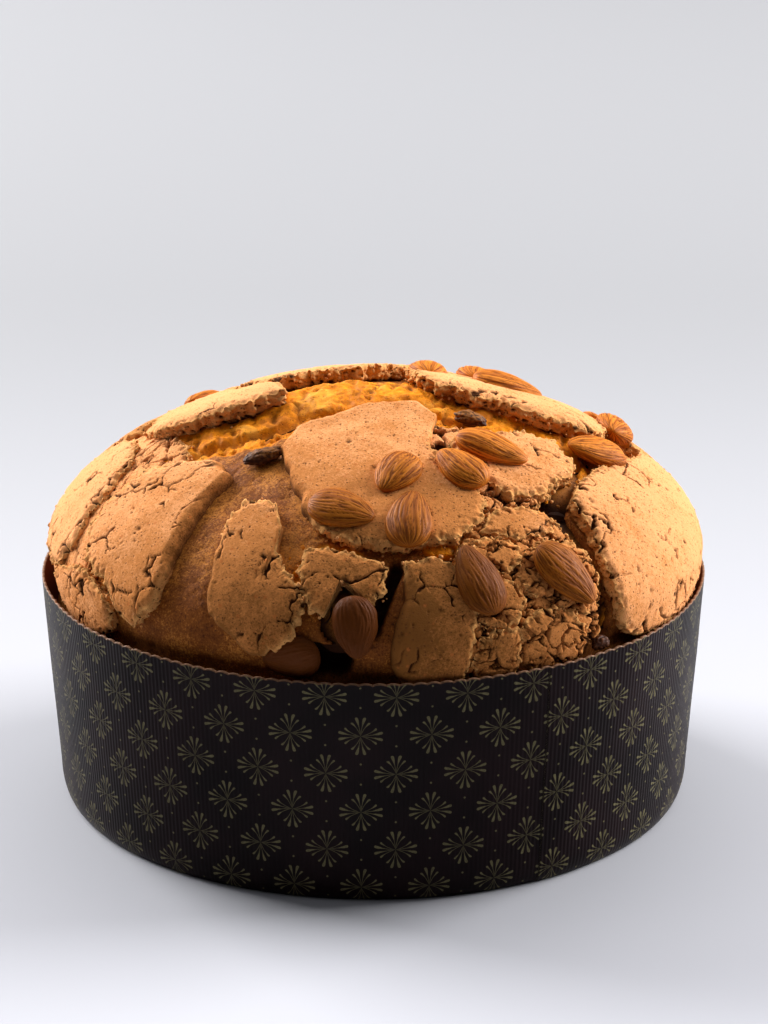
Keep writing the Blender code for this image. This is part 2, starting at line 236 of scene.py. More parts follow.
@dataclass
class Shell:
    """Points and faces of one closed surface, with named point values."""

    points: np.ndarray
    quads: np.ndarray
    triangles: np.ndarray
    values: dict[str, np.ndarray] = field(default_factory=dict)

    def build(self, name: str, finish: bpy.types.Material) -> bpy.types.Object:
        """Write the shell into a smooth-shaded object at the origin.

        Args:
            name: object name.
            finish: its material.

        Returns:
            The linked object.
        """
        mesh = bpy.data.meshes.new(name)
        mesh.vertices.add(len(self.points))
        mesh.vertices.foreach_set("co", (self.points * MM).astype(np.float32).ravel())
        corners = np.concatenate((self.quads.ravel(), self.triangles.ravel()))
        mesh.loops.add(len(corners))
        mesh.loops.foreach_set("vertex_index", corners.astype(np.int32))
        after_quads = 4 * len(self.quads)
        starts = np.concatenate((
            np.arange(len(self.quads)) * 4,
            after_quads + np.arange(len(self.triangles)) * 3,
        ))
        mesh.polygons.add(len(starts))
        mesh.polygons.foreach_set("loop_start", starts.astype(np.int32))
        mesh.update(calc_edges=True)
        mesh.validate()
        mesh.shade_smooth()
        for label, values in self.values.items():
            layer = mesh.attributes.new(label, "FLOAT", "POINT")
            layer.data.foreach_set("value", values.astype(np.float32))
        mesh.materials.append(finish)
        made = bpy.data.objects.new(name, mesh)
        bpy.context.scene.collection.objects.link(made)
        return made


def sheet_quads(rows: int, columns: int, wrap: bool) -> np.ndarray:
    """Quads of a grid of points stored row by row.

    Args:
        rows: number of rows of points.
        columns: number of points in a row.
        wrap: whether each row closes on itself.

    Returns:
        (n, 4) corner indices, running along the row first.
    """
    row = np.arange(rows - 1)[:, None] * columns
    spans = np.arange(columns if wrap else columns - 1)
    after = (spans + 1) % columns
    quads = np.stack((row + spans, row + after, row + columns + after,
                      row + columns + spans), axis=-1)
    return quads.reshape(-1, 4)


def fan(ring: np.ndarray, pole: int) -> np.ndarray:
    """Triangles from a closed ring of indices to one pole index."""
    return np.column_stack((ring, np.roll(ring, -1), np.full(len(ring), pole)))


def capped(rows: int, columns: int, pole: int, flip: bool
           ) -> tuple[np.ndarray, np.ndarray]:
    """Faces of closed rings between two poles; the points are pole, rings, pole.

    Args:
        rows: number of rings.
        columns: number of points in a ring.
        pole: index of the last pole.
        flip: whether the rings run from the top down, which turns the faces round.

    Returns:
        (quads, triangles) of corner indices.
    """
    quads = sheet_quads(rows, columns, True) + 1
    ring = 1 + np.arange(columns)
    first, last = fan(ring, 0), fan(ring + (rows - 1) * columns, pole)
    if flip:
        return quads[:, ::-1], np.vstack((first, last[:, SWAPPED]))
    return quads, np.vstack((first[:, SWAPPED], last))


def node_vertices(node: bpy.types.Object) -> np.ndarray:
    """Mesh points of a node in millimetres, (n, 3)."""
    flat = np.empty(len(node.data.vertices) * 3, np.float32)
    node.data.vertices.foreach_get("co", flat)
    return flat.reshape(-1, 3).astype(float) / MM


SWAPPED = [1, 0, 2]
NO_TRIANGLES = np.zeros((0, 3), int)


# ---------------------------------------------------------------- the dome


@dataclass
class Dome:
    """Skin of the cake above the case: a superellipse over an ellipse that tucks in."""

    skin_radius: float = 98.8
    widest_height: float = 81.0
    rise: float = 46.0
    fullness: float = 1.65
    tuck: float = 11.0
    tuck_depth: float = 24.0
    ridge_start: tuple[float, float] = (-58.0, -6.0)
    ridge_end: tuple[float, float] = (56.0, 2.0)
    ridge_height: float = 3.0
    ridge_width: float = 17.0
    samples: int = 2000
    tuck_samples: int = 500
    search_step: int = 4

    def __post_init__(self) -> None:
        """Tabulate arc, radius and height along the skin."""
        turn = np.linspace(math.pi / 2, 0, self.samples)
        radius = self.skin_radius * np.cos(turn) ** (2 / self.fullness)
        height = self.widest_height + self.rise * np.sin(turn) ** (2 / self.fullness)
        turn = np.linspace(0, math.pi / 2, self.tuck_samples)[1:]
        self.radius = np.append(radius, self.skin_radius - self.tuck * (1 - np.cos(turn)))
        self.height = np.append(height, self.widest_height
                                - self.tuck_depth * np.sin(turn))
        step = np.hypot(np.diff(self.radius), np.diff(self.height))
        self.arc = np.append(0, np.cumsum(step))

    def ridge(self, plan: np.ndarray) -> np.ndarray:
        """Lift of the torn ridge: a bell across the line between its ends."""
        away = line_distance(plan, np.array([self.ridge_start, self.ridge_end]))
        return self.ridge_height * bell(away, self.ridge_width)

    def bake(self, plan: np.ndarray) -> np.ndarray:
        """Painted shade, 0 to 1: darker low on the side that faces the front, away from the
        lights.
        """
        turn = np.arctan2(plan[:, 0], -plan[:, 1])
        arc = np.hypot(plan[:, 0], plan[:, 1])
        facing = bell(turn + math.radians(6), math.radians(46))
        return facing * ease(arc, 26.0, 112.0)

    def slope(self, arc: np.ndarray) -> tuple[np.ndarray, np.ndarray]:
        """Outward unit normal of the profile as (radial, vertical) parts."""
        low, high = np.maximum(arc - 0.7, 0), arc + 0.7
        run = np.interp(high, self.arc, self.radius) - np.interp(low, self.arc, self.radius)
        fall = np.interp(high, self.arc, self.height) - np.interp(low, self.arc, self.height)
        length = np.hypot(run, fall)
        return -fall / length, run / length

    def points(self, plan: np.ndarray, lift: np.ndarray) -> np.ndarray:
        """Places in space of plan places raised by lift along the skin's normal.

        Args:
            plan: (n, 2) plan places.
            lift: (n,) heights above the smooth skin.

        Returns:
            (n, 3) points.
        """
        arc = np.hypot(plan[:, 0], plan[:, 1])
        turn = np.arctan2(plan[:, 0], -plan[:, 1])
        radial, vertical = self.slope(arc)
        radius = np.interp(arc, self.arc, self.radius) + radial * lift
        height = np.interp(arc, self.arc, self.height) + vertical * lift
        return np.column_stack((turned(radius, turn), height))

    def laid_flat(self, points: np.ndarray) -> tuple[np.ndarray, np.ndarray]:
        """Plan places and lifts of points in space, by their nearest profile sample.

        Args:
            points: (n, 3) places.

        Returns:
            (plan, lift) of the points.
        """
        out = np.hypot(points[:, 0], points[:, 1])
        step = self.search_step
        gap = np.hypot(out[:, None] - self.radius[None, ::step],
                       points[:, 2][:, None] - self.height[None, ::step])
        nearest = gap.argmin(axis=1) * step
        arc = self.arc[nearest]
        radial, vertical = self.slope(arc)
        lift = ((out - self.radius[nearest]) * radial
                + (points[:, 2] - self.height[nearest]) * vertical)
        turn = np.arctan2(points[:, 0], -points[:, 1])
        return turned(arc, turn), lift


def plan_place(azimuth: float, arc: float) -> np.ndarray:
    """Plan place of an azimuth in degrees from the front and an arc from the top."""
    turn = math.radians(azimuth)
    return np.array([arc * math.sin(turn), -arc * math.cos(turn)])


def line_distance(plan: np.ndarray, path: np.ndarray) -> np.ndarray:
    """Distance of each plan place to an open line through the points of path."""
    best = np.full(len(plan), np.inf)
    for start, end in zip(path, path[1:]):
        run = end - start
        share = np.clip((plan - start) @ run / (run @ run), 0, 1)
        away = np.linalg.norm(plan - start - share[:, None] * run, axis=1)
        best = np.minimum(best, away)
    return best


# ---------------------------------------------------------------- finishes


class Value:
    """A number that varies over a surface: a socket, with arithmetic as Math nodes."""

    def __init__(self, tree: "Tree", socket: bpy.types.NodeSocket) -> None:
        """Wrap an output socket of a tree."""
        self.tree = tree
        self.socket = socket

    def _math(self, operation: str, *others: "Value | float") -> "Value":
        """Result of a Math node on this value and others."""
        return self.tree.math(operation, self, *others)

    def __add__(self, other: "Value | float") -> "Value":
        """Sum."""
        return self._math("ADD", other)

    __radd__ = __add__

    def __mul__(self, other: "Value | float") -> "Value":
        """Product."""
        return self._math("MULTIPLY", other)

    __rmul__ = __mul__

    def __sub__(self, other: "Value | float") -> "Value":
        """Difference."""
        return self._math("SUBTRACT", other)

    def __rsub__(self, other: float) -> "Value":
        """Difference from a number."""
        return self.tree.math("SUBTRACT", other, self)

    def __truediv__(self, other: "Value | float") -> "Value":
        """Quotient."""
        return self._math("DIVIDE", other)

    def __pow__(self, other: float) -> "Value":
        """Power."""
        return self._math("POWER", other)

    def call(self, operation: str, *others: "Value | float") -> "Value":
        """Any other Math operation, such as SINE or FRACT."""
        return self._math(operation, *others)

    def step(self, low: float, high: float) -> "Value":
        """Smooth step from 0 at low to 1 at high; low may be the larger."""
        node = self.tree.node("ShaderNodeMapRange", {"interpolation_type": "SMOOTHSTEP"},
                              {"Value": self, "From Min": low, "From Max": high})
        return Value(self.tree, node.outputs["Result"])


Colour = tuple[float, float, float]


class Tree:
    """Node tree of one material, with a Principled shader at its end."""

    def __init__(self, name: str) -> None:
        """Make the material and keep its shader.

        Args:
            name: material name.
        """
        self.material = bpy.data.materials.new(name)
        self.material.use_nodes = True
        self.nodes = self.material.node_tree.nodes
        self.shader = self.nodes["Principled BSDF"]

    def node(self, kind: str, settings: dict, sockets: dict) -> bpy.types.Node:
        """Any node: its settings are set first, then its sockets.

        Args:
            kind: node type.
            settings: properties of the node.
            sockets: numbers, colours, Values or sockets by input name or index.

        Returns:
            The node.
        """
        made = self.nodes.new(kind)
        for key, value in settings.items():
            setattr(made, key, value)
        for key, value in sockets.items():
            self.feed(made.inputs[key], value)
        return made

    def feed(self, target: bpy.types.NodeSocket, value: object) -> None:
        """Link a Value or socket into an input, or set its default."""
        if isinstance(value, Value):
            value = value.socket
        if isinstance(value, bpy.types.NodeSocket):
            self.material.node_tree.links.new(value, target)
        elif isinstance(value, tuple) and len(value) == 3 and target.type == "RGBA":
            target.default_value = (*value, 1)
        else:
            target.default_value = value

    def math(self, operation: str, *terms: Value | float) -> Value:
        """A Math node on up to three terms."""
        node = self.node("ShaderNodeMath", {"operation": operation},
                         dict(enumerate(terms)))
        return Value(self, node.outputs[0])

    def mix(self, share: Value | float, first: object, second: object
            ) -> bpy.types.NodeSocket:
        """Colour between first and second by share."""
        node = self.node("ShaderNodeMix", {"data_type": "RGBA", "clamp_factor": True},
                         {0: share, 6: first, 7: second})
        return node.outputs[2]

    def attribute(self, name: str) -> Value:
        """A named point value of the mesh."""
        node = self.node("ShaderNodeAttribute", {"attribute_name": name}, {})
        return Value(self, node.outputs["Fac"])

    def place(self) -> bpy.types.NodeSocket:
        """Object coordinates, in metres."""
        return self.node("ShaderNodeTexCoord", {}, {}).outputs["Object"]

    def noise(self, place: bpy.types.NodeSocket, size: float, detail: float = 2.0,
              roughness: float = 0.5) -> Value:
        """Noise texture whose features are about size millimetres."""
        node = self.node("ShaderNodeTexNoise", {}, {
            "Vector": place, "Scale": 1 / (size * MM), "Detail": detail,
            "Roughness": roughness})
        return Value(self, node.outputs["Fac"])

    def spots(self, place: bpy.types.NodeSocket, size: float) -> tuple[Value, Value]:
        """Voronoi cells: distance to the nearest seed in cells, and its random share."""
        node = self.node("ShaderNodeTexVoronoi", {}, {
            "Vector": place, "Scale": 1 / (size * MM)})
        split = self.node("ShaderNodeSeparateColor", {}, {0: node.outputs["Color"]})
        return Value(self, node.outputs["Distance"]), Value(self, split.outputs[0])

    def bump(self, height: Value, depth: float) -> bpy.types.NodeSocket:
        """Normal from a height of 0 to 1 that stands for depth millimetres."""
        node = self.node("ShaderNodeBump", {}, {
            "Height": height, "Distance": depth * MM, "Strength": 1.0})
        return node.outputs["Normal"]

    def finish(self, colour: object, roughness: object, normal: object = None,
               **fixed: float) -> bpy.types.Material:
        """Feed the shader and return the material.

        Args:
            colour: base colour.
            roughness: roughness.
            normal: normal socket, if any.
            fixed: numbers for other sockets, with underscores for spaces.

        Returns:
            The finished material.
        """
        self.feed(self.shader.inputs["Base Color"], colour)
        self.feed(self.shader.inputs["Roughness"], roughness)
        if normal is not None:
            self.feed(self.shader.inputs["Normal"], normal)
        for name, value in fixed.items():
            self.shader.inputs[name.replace("_", " ")].default_value = value
        return self.material


@dataclass(frozen=True)
class GlazeFinish:
    """Matt sandy nut glaze: pale and fine on top, porous and browner where broken."""

    pale: Colour = (0.77, 0.336, 0.132)
    tan: Colour = (0.53, 0.195, 0.052)
    # Dark end of the browning, also used as painted shade on the low front side.
    baked_and_shaded: Colour = (0.21, 0.078, 0.017)
    broken: Colour = (0.66, 0.330, 0.105)
    speck: Colour = (0.13, 0.046, 0.014)
    nut: Colour = (0.46, 0.130, 0.030)
    # Painted shade: near-black colour of cracks, pores, crevices and the foot of walls.
    hollow: Colour = (0.045, 0.013, 0.003)

    def material(self) -> bpy.types.Material:
        """Node material, reading the point values torn, hollow and toast.

        Toast runs from pale at 0 through tan at 1 to dark baked at 2. Toast adds painted
        shade low on the front side to real browning; hollow is painted shade in cracks,
        pores and crevices.
        """
        tree = Tree("nut_glaze")
        place = tree.place()
        patch = tree.noise(place, 9, 3, 0.6)
        grain = tree.noise(place, 0.9, 3, 0.75)
        dust = tree.noise(place, 0.45, 1, 0.5)
        away, share = tree.spots(place, 1.1)
        nut_away, nut_share = tree.spots(place, 2.6)
        torn = tree.attribute("torn")
        hollow = tree.attribute("hollow")
        browned = tree.attribute("toast_and_shade") + (patch - 0.5) * 1.5 + (grain - 0.5) * 2.1
        colour = tree.mix(browned.step(0.0, 1.0), self.pale, self.tan)
        colour = tree.mix(browned.step(0.9, 2.1), colour, self.baked_and_shaded)
        colour = tree.mix(torn * 0.8, colour, self.broken)
        nuts = nut_away.step(0.32, 0.10) * nut_share.step(0.68, 0.78)
        colour = tree.mix(nuts * 0.65, colour, self.nut)
        specks = away.step(0.34, 0.14) * share.step(0.48, 0.62)
        colour = tree.mix(specks * 0.85, colour, self.speck)
        colour = tree.mix(dust.step(0.56, 0.76) * 0.4, colour, self.speck)
        # Painted shade in cracks, pores, crevices and at the foot of walls.
        colour = tree.mix((hollow + (dust - 0.5) * 0.5 * hollow).step(0.03, 0.72), colour,
                          self.hollow)
        height = grain * 0.6 + dust * 0.4 - specks * 0.5
        return tree.finish(colour, 0.92, tree.bump(height, 0.14),
                           Specular_IOR_Level=0.05)


@dataclass(frozen=True)
class CrustFinish:
    """Baked crust from golden to chestnut, and yellow crumb where it is torn open."""

    golden: Colour = (0.56, 0.205, 0.034)
    brown: Colour = (0.22, 0.064, 0.011)
    dark: Colour = (0.065, 0.017, 0.004)
    crumb: Colour = (0.88, 0.290, 0.006)
    crumb_shade: Colour = (0.48, 0.125, 0.003)
    crumb_pale: Colour = (0.82, 0.370, 0.045)
    crumb_toasted: Colour = (0.56, 0.165, 0.012)
    # Painted shade: near-black colour of splits, pits, pockets and pores.
    hollow: Colour = (0.024, 0.007, 0.002)

    def material(self) -> bpy.types.Material:
        """Node material, reading the point values torn, hollow and toast."""
        tree = Tree("baked_crust")
        place = tree.place()
        patch = tree.noise(place, 15, 4, 0.6)
        fine = tree.noise(place, 1.6, 4, 0.75)
        dust = tree.noise(place, 0.6, 2, 0.6)
        away, share = tree.spots(place, 0.8)
        toast_and_shade = tree.attribute("toast_and_shade")
        torn = tree.attribute("torn")
        hollow = tree.attribute("hollow")
        browned = toast_and_shade + (patch - 0.5) * 2.2 + (fine - 0.5) * 2.0 + (dust - 0.5) * 2.2
        crust = tree.mix(browned.step(0.0, 1.0), self.golden, self.brown)
        crust = tree.mix(browned.step(0.9, 2.0), crust, self.dark)
        crumb = tree.mix((fine * 0.7 + patch * 0.6).step(0.45, 0.85), self.crumb_shade,
                         self.crumb)
        tint = tree.noise(place, 11, 3, 0.6) + (fine - 0.5) * 0.15
        crumb = tree.mix(tint.step(0.54, 0.68) * 0.55, crumb, self.crumb_pale)
        crumb = tree.mix(tint.step(0.47, 0.36) * 0.8, crumb, self.crumb_toasted)
        colour = tree.mix(torn.step(0.15, 0.75), crust, crumb)
        # Painted shade in the pores and, through hollow, in the splits, pits and pockets.
        pore = away.step(0.36, 0.12) * share.step(0.5, 0.65)
        colour = tree.mix(pore * 0.5, colour, self.hollow)
        colour = tree.mix(hollow.step(0.0, 0.85), colour, self.hollow)
        height = fine * 0.5 + dust * 0.4 - pore * 0.4
        return tree.finish(colour, 0.62, tree.bump(height, 0.32),
                           Specular_IOR_Level=0.06)


@dataclass(frozen=True)
class AlmondFinish:
    """Roasted almond skin: orange-brown ridges and dark furrows along its length."""

    ridge: Colour = (0.66, 0.205, 0.018)
    skin: Colour = (0.35, 0.088, 0.006)
    furrow: Colour = (0.13, 0.028, 0.003)
    # Painted shade: the dark colour given to almonds low on the front side and in the pit.
    baked_and_shaded: Colour = (0.100, 0.026, 0.004)

    def material(self) -> bpy.types.Material:
        """Node material, reading the point values furrow, streak and toast."""
        tree = Tree("almond_skin")
        place = tree.place()
        patch = tree.noise(place, 4, 3)
        fine = tree.noise(place, 0.4, 2, 0.6)
        furrow = tree.attribute("furrow")
        streak = tree.attribute("streak")
        toast_and_shade = tree.attribute("toast_and_shade")
        level = streak + (patch - 0.5) * 0.7 + (fine - 0.5) * 0.5
        colour = tree.mix(level.step(0.1, 0.95), self.skin, self.ridge)
        colour = tree.mix((furrow + (fine - 0.5) * 0.4).step(0.15, 0.95) * 0.85, colour,
                          self.furrow)
        # Painted shade: the skin darkens by toast, which is shade low on the front and in
        # the pit.
        colour = tree.mix(toast_and_shade, colour, self.baked_and_shaded)
        roughness = 0.42 + furrow * 0.25 + (fine - 0.5) * 0.2
        return tree.finish(colour, roughness, tree.bump(fine, 0.07),
                           Specular_IOR_Level=0.06)


@dataclass(frozen=True)
class RaisinFinish:
    """Dark baked raisin, purple-brown with a little gloss."""

    skin: Colour = (0.040, 0.011, 0.004)
    dust: Colour = (0.16, 0.050, 0.014)
    glazed: Colour = (0.30, 0.110, 0.020)

    def material(self) -> bpy.types.Material:
        """Node material, reading the point values furrow and glazed."""
        tree = Tree("raisin_skin")
        place = tree.place()
        fine = tree.noise(place, 0.8, 3)
        furrow = tree.attribute("furrow")
        colour = tree.mix((1 - furrow) * fine.step(0.35, 0.75), self.skin, self.dust)
        glazed = tree.attribute("glazed") * fine.step(0.3, 0.6)
        colour = tree.mix(glazed, colour, self.glazed)
        return tree.finish(colour, 0.50 + (fine - 0.5) * 0.2, tree.bump(fine, 0.15),
                           Specular_IOR_Level=0.1)


@dataclass(frozen=True)
class PaperFinish:
    """Dark ribbed baking paper, printed with a staggered lattice of small fan rosettes."""

    paper: Colour = (0.0045, 0.0020, 0.0024)
    wash: Colour = (0.0105, 0.0042, 0.0050)
    ink: Colour = (0.125, 0.108, 0.052)
    kraft: Colour = (0.17, 0.050, 0.026)
    cut_edge: Colour = (0.30, 0.16, 0.09)
    pitch_across: float = 21.3
    pitch_up: float = 25.0
    lift_up: float = -1.2
    shift_across: float = 15.4
    reach: float = 6.8
    squeeze: float = 1.09
    spoke_gap: float = math.radians(22.5)
    rib_pitch: float = 1.5

    def rosette(self, tree: Tree, across: Value, up: Value) -> Value:
        """Ink of one rosette about its own centre.

        Four fans of four spokes leave the centre along the axes. A spoke starts close to
        its axis and bends away from it, thin at its root and ending in a round club.

        Args:
            tree: the material's tree.
            across: millimetres to the right of the centre.
            up: millimetres above it.

        Returns:
            Ink, 0 to 1.
        """
        wide, tall = across.call("ABSOLUTE"), up.call("ABSOLUTE")
        out = (across ** 2 + up ** 2) ** 0.5
        near = wide.call("MAXIMUM", tall)
        lean = tree.math("ARCTAN2", wide.call("MINIMUM", tall), near)
        share = out / self.reach
        spread = 0.42 + share * 0.58
        spoke = lean / spread / self.spoke_gap
        outer = spoke.call("GREATER_THAN", 1.0)
        off = (spoke - 0.5 - outer).call("ABSOLUTE") * spread * self.spoke_gap * out
        width = 0.07 + share.step(0.45, 0.92) * 0.40
        tip = self.reach - outer * 1.2 - 0.5
        past = (out - tip).call("MAXIMUM", 0.0)
        away = (off ** 2 + past ** 2) ** 0.5
        drawn = (away - width).step(0.09, -0.09) * (0.5 + share.step(0.05, 0.3) * 0.5)
        return drawn * (spoke - 2.0).step(0.02, -0.02)

    def print_mask(self, tree: Tree, along: Value, height: Value) -> Value:
        """Ink of the whole print: rosettes in a brick lattice, and pairs of dots.

        Args:
            tree: the material's tree.
            along: millimetres round the wall.
            height: millimetres up the wall.

        Returns:
            Ink, 0 to 1.
        """
        rows = (height - self.lift_up) * (2 / self.pitch_up)
        row = rows.call("FLOOR")
        shift = (row * 0.5).call("FRACT")
        column = (along - self.shift_across) / self.pitch_across + shift
        across = (column.call("FRACT") - 0.5) * self.pitch_across
        up = (rows.call("FRACT") - 0.5) * (self.pitch_up / 2)
        ink = self.rosette(tree, across, up * self.squeeze)
        side = self.pitch_across / 2 - across.call("ABSOLUTE")
        lift = up.call("ABSOLUTE") - 3.3
        dot = ((side ** 2 + lift ** 2) ** 0.5).step(0.42, 0.24)
        return ink.call("MAXIMUM", dot)

    def material(self) -> bpy.types.Material:
        """Node material, reading the point values along, up, inner and edge."""
        tree = Tree("case_paper")
        place = tree.place()
        along = tree.attribute("along")
        height = tree.attribute("up")
        inner = tree.attribute("inner")
        edge = tree.attribute("edge")
        fibre = tree.noise(place, 0.8, 3)
        patch = tree.noise(place, 24, 3)
        worn = tree.noise(place, 0.45, 2).step(0.25, 0.6)
        ink = self.print_mask(tree, along, height) * (0.65 + worn * 0.35)
        colour = tree.mix(patch.step(0.3, 0.7), self.paper, self.wash)
        colour = tree.mix(ink, colour, self.ink)
        colour = tree.mix(inner, colour, self.kraft)
        colour = tree.mix(edge * (0.55 + fibre * 0.45), colour, self.cut_edge)
        rib = (along * (TURN / self.rib_pitch)).call("SINE") * 0.5 + 0.5
        bumpy = rib * 0.75 + fibre * 0.25
        roughness = 0.38 + (fibre - 0.5) * 0.15 + inner * 0.3
        return tree.finish(colour, roughness, tree.bump(bumpy, 0.03),
                           Specular_IOR_Level=0.06)


# ---------------------------------------------------------------- patches on the dome


@dataclass
class PlateLook:
    """How one glaze plate differs from the usual one."""

    spacing: float = 0.40
    flow_heading: float | None = None
    flow_spread: float = 70.0
    crack_size: float = 15.0
    crack_depth: float = 0.9
    cracked: float = 0.0
    rubble: float = 0.0
    ragged: float = 1.0
    grow: float = 0.0
    toast_and_shade: float = 0.35
    tilt_heading: float = 0.0
    tilt: float = 0.0
    undercut: float = 1.0
    stretch_heading: float = 0.0
    stretch: float = 0.0
    brown_rim: float = 5.0
    flow_width: float = 4.5
    porous: float = 0.0


PLATE_LOOKS = {
    "glaze_crown": PlateLook(0.36, flow_heading=140, flow_spread=80, crack_size=30,
                             crack_depth=0.5, toast_and_shade=0.42, cracked=-0.35, brown_rim=1.2,
                             flow_width=2.6),
    "glaze_crown_right": PlateLook(0.34, crack_size=15, rubble=0.05, toast_and_shade=0.35, grow=1.0,
                                   cracked=-0.25),
    "glaze_lifted_left": PlateLook(0.38, crack_size=30, crack_depth=0.3, toast_and_shade=0.05,
                                   tilt_heading=-75, tilt=2.2, grow=1.0, undercut=2.0,
                                   cracked=-0.4),
    "glaze_rim_left": PlateLook(0.40, crack_size=11, toast_and_shade=0.05, grow=2.0),
    "glaze_low_left": PlateLook(0.34, crack_size=9, rubble=0.10, toast_and_shade=0.25, grow=2.0,
                                porous=0.1),
    "glaze_front_left": PlateLook(0.36, flow_heading=-10, flow_spread=75, crack_size=12,
                                  toast_and_shade=0.15, grow=0.8, cracked=-0.12, brown_rim=2.2,
                                  flow_width=3.6),
    "glaze_front_drip": PlateLook(0.33, flow_heading=195, flow_spread=80, crack_size=12,
                                  toast_and_shade=0.05, brown_rim=2.5, flow_width=3.8),
    "glaze_front_middle": PlateLook(0.30, crack_size=14, rubble=0.05, toast_and_shade=0.15,
                                    cracked=-0.05, porous=0.1),
    "glaze_front_right": PlateLook(0.32, flow_heading=190, flow_spread=50, crack_size=10,
                                   rubble=0.02, toast_and_shade=0.4, grow=2.0, cracked=-0.28,
                                   stretch_heading=222, stretch=7.0, brown_rim=11),
    "glaze_chip_upper": PlateLook(0.30, rubble=0.05, toast_and_shade=0.35, grow=1.0),
    "glaze_chip_middle": PlateLook(0.28, rubble=0.22, toast_and_shade=0.4, grow=0.8, porous=0.15),
    "glaze_almond_bed": PlateLook(0.30, rubble=0.26, toast_and_shade=0.4, grow=1.0, porous=0.2),
    "glaze_almond_edge": PlateLook(0.28, rubble=0.28, toast_and_shade=0.4, grow=1.0, porous=0.2),
    "glaze_low_middle": PlateLook(0.28, rubble=0.2, toast_and_shade=0.4, grow=1.5, porous=0.25),
    "glaze_low_right": PlateLook(0.30, rubble=0.24, toast_and_shade=0.45, grow=1.5, porous=0.2),
    "glaze_right": PlateLook(0.38, crack_size=12, crack_depth=1.2, toast_and_shade=0.1,
                             cracked=-0.08, porous=0.12),
    "glaze_back_right": PlateLook(0.38, tilt_heading=-75, tilt=1.6, toast_and_shade=0.2,
                                  undercut=2.0, grow=1.0, ragged=1.5),
    "glaze_back_left": PlateLook(0.38, tilt_heading=-80, tilt=1.4, toast_and_shade=0.15,
                                 undercut=2.0, grow=1.0, ragged=1.7, rubble=0.07,
                                 porous=0.1),
    "glaze_rear_right": PlateLook(0.58, grow=1.5, toast_and_shade=0.6, cracked=-0.05),
    "glaze_rear_middle": PlateLook(0.58, grow=1.5, toast_and_shade=0.7, cracked=-0.1),
    "glaze_rear_left": PlateLook(0.58, grow=1.5, toast_and_shade=0.6, cracked=-0.05),
    "glaze_rear_low": PlateLook(0.58, rubble=0.06, grow=1.5, toast_and_shade=0.6),
}


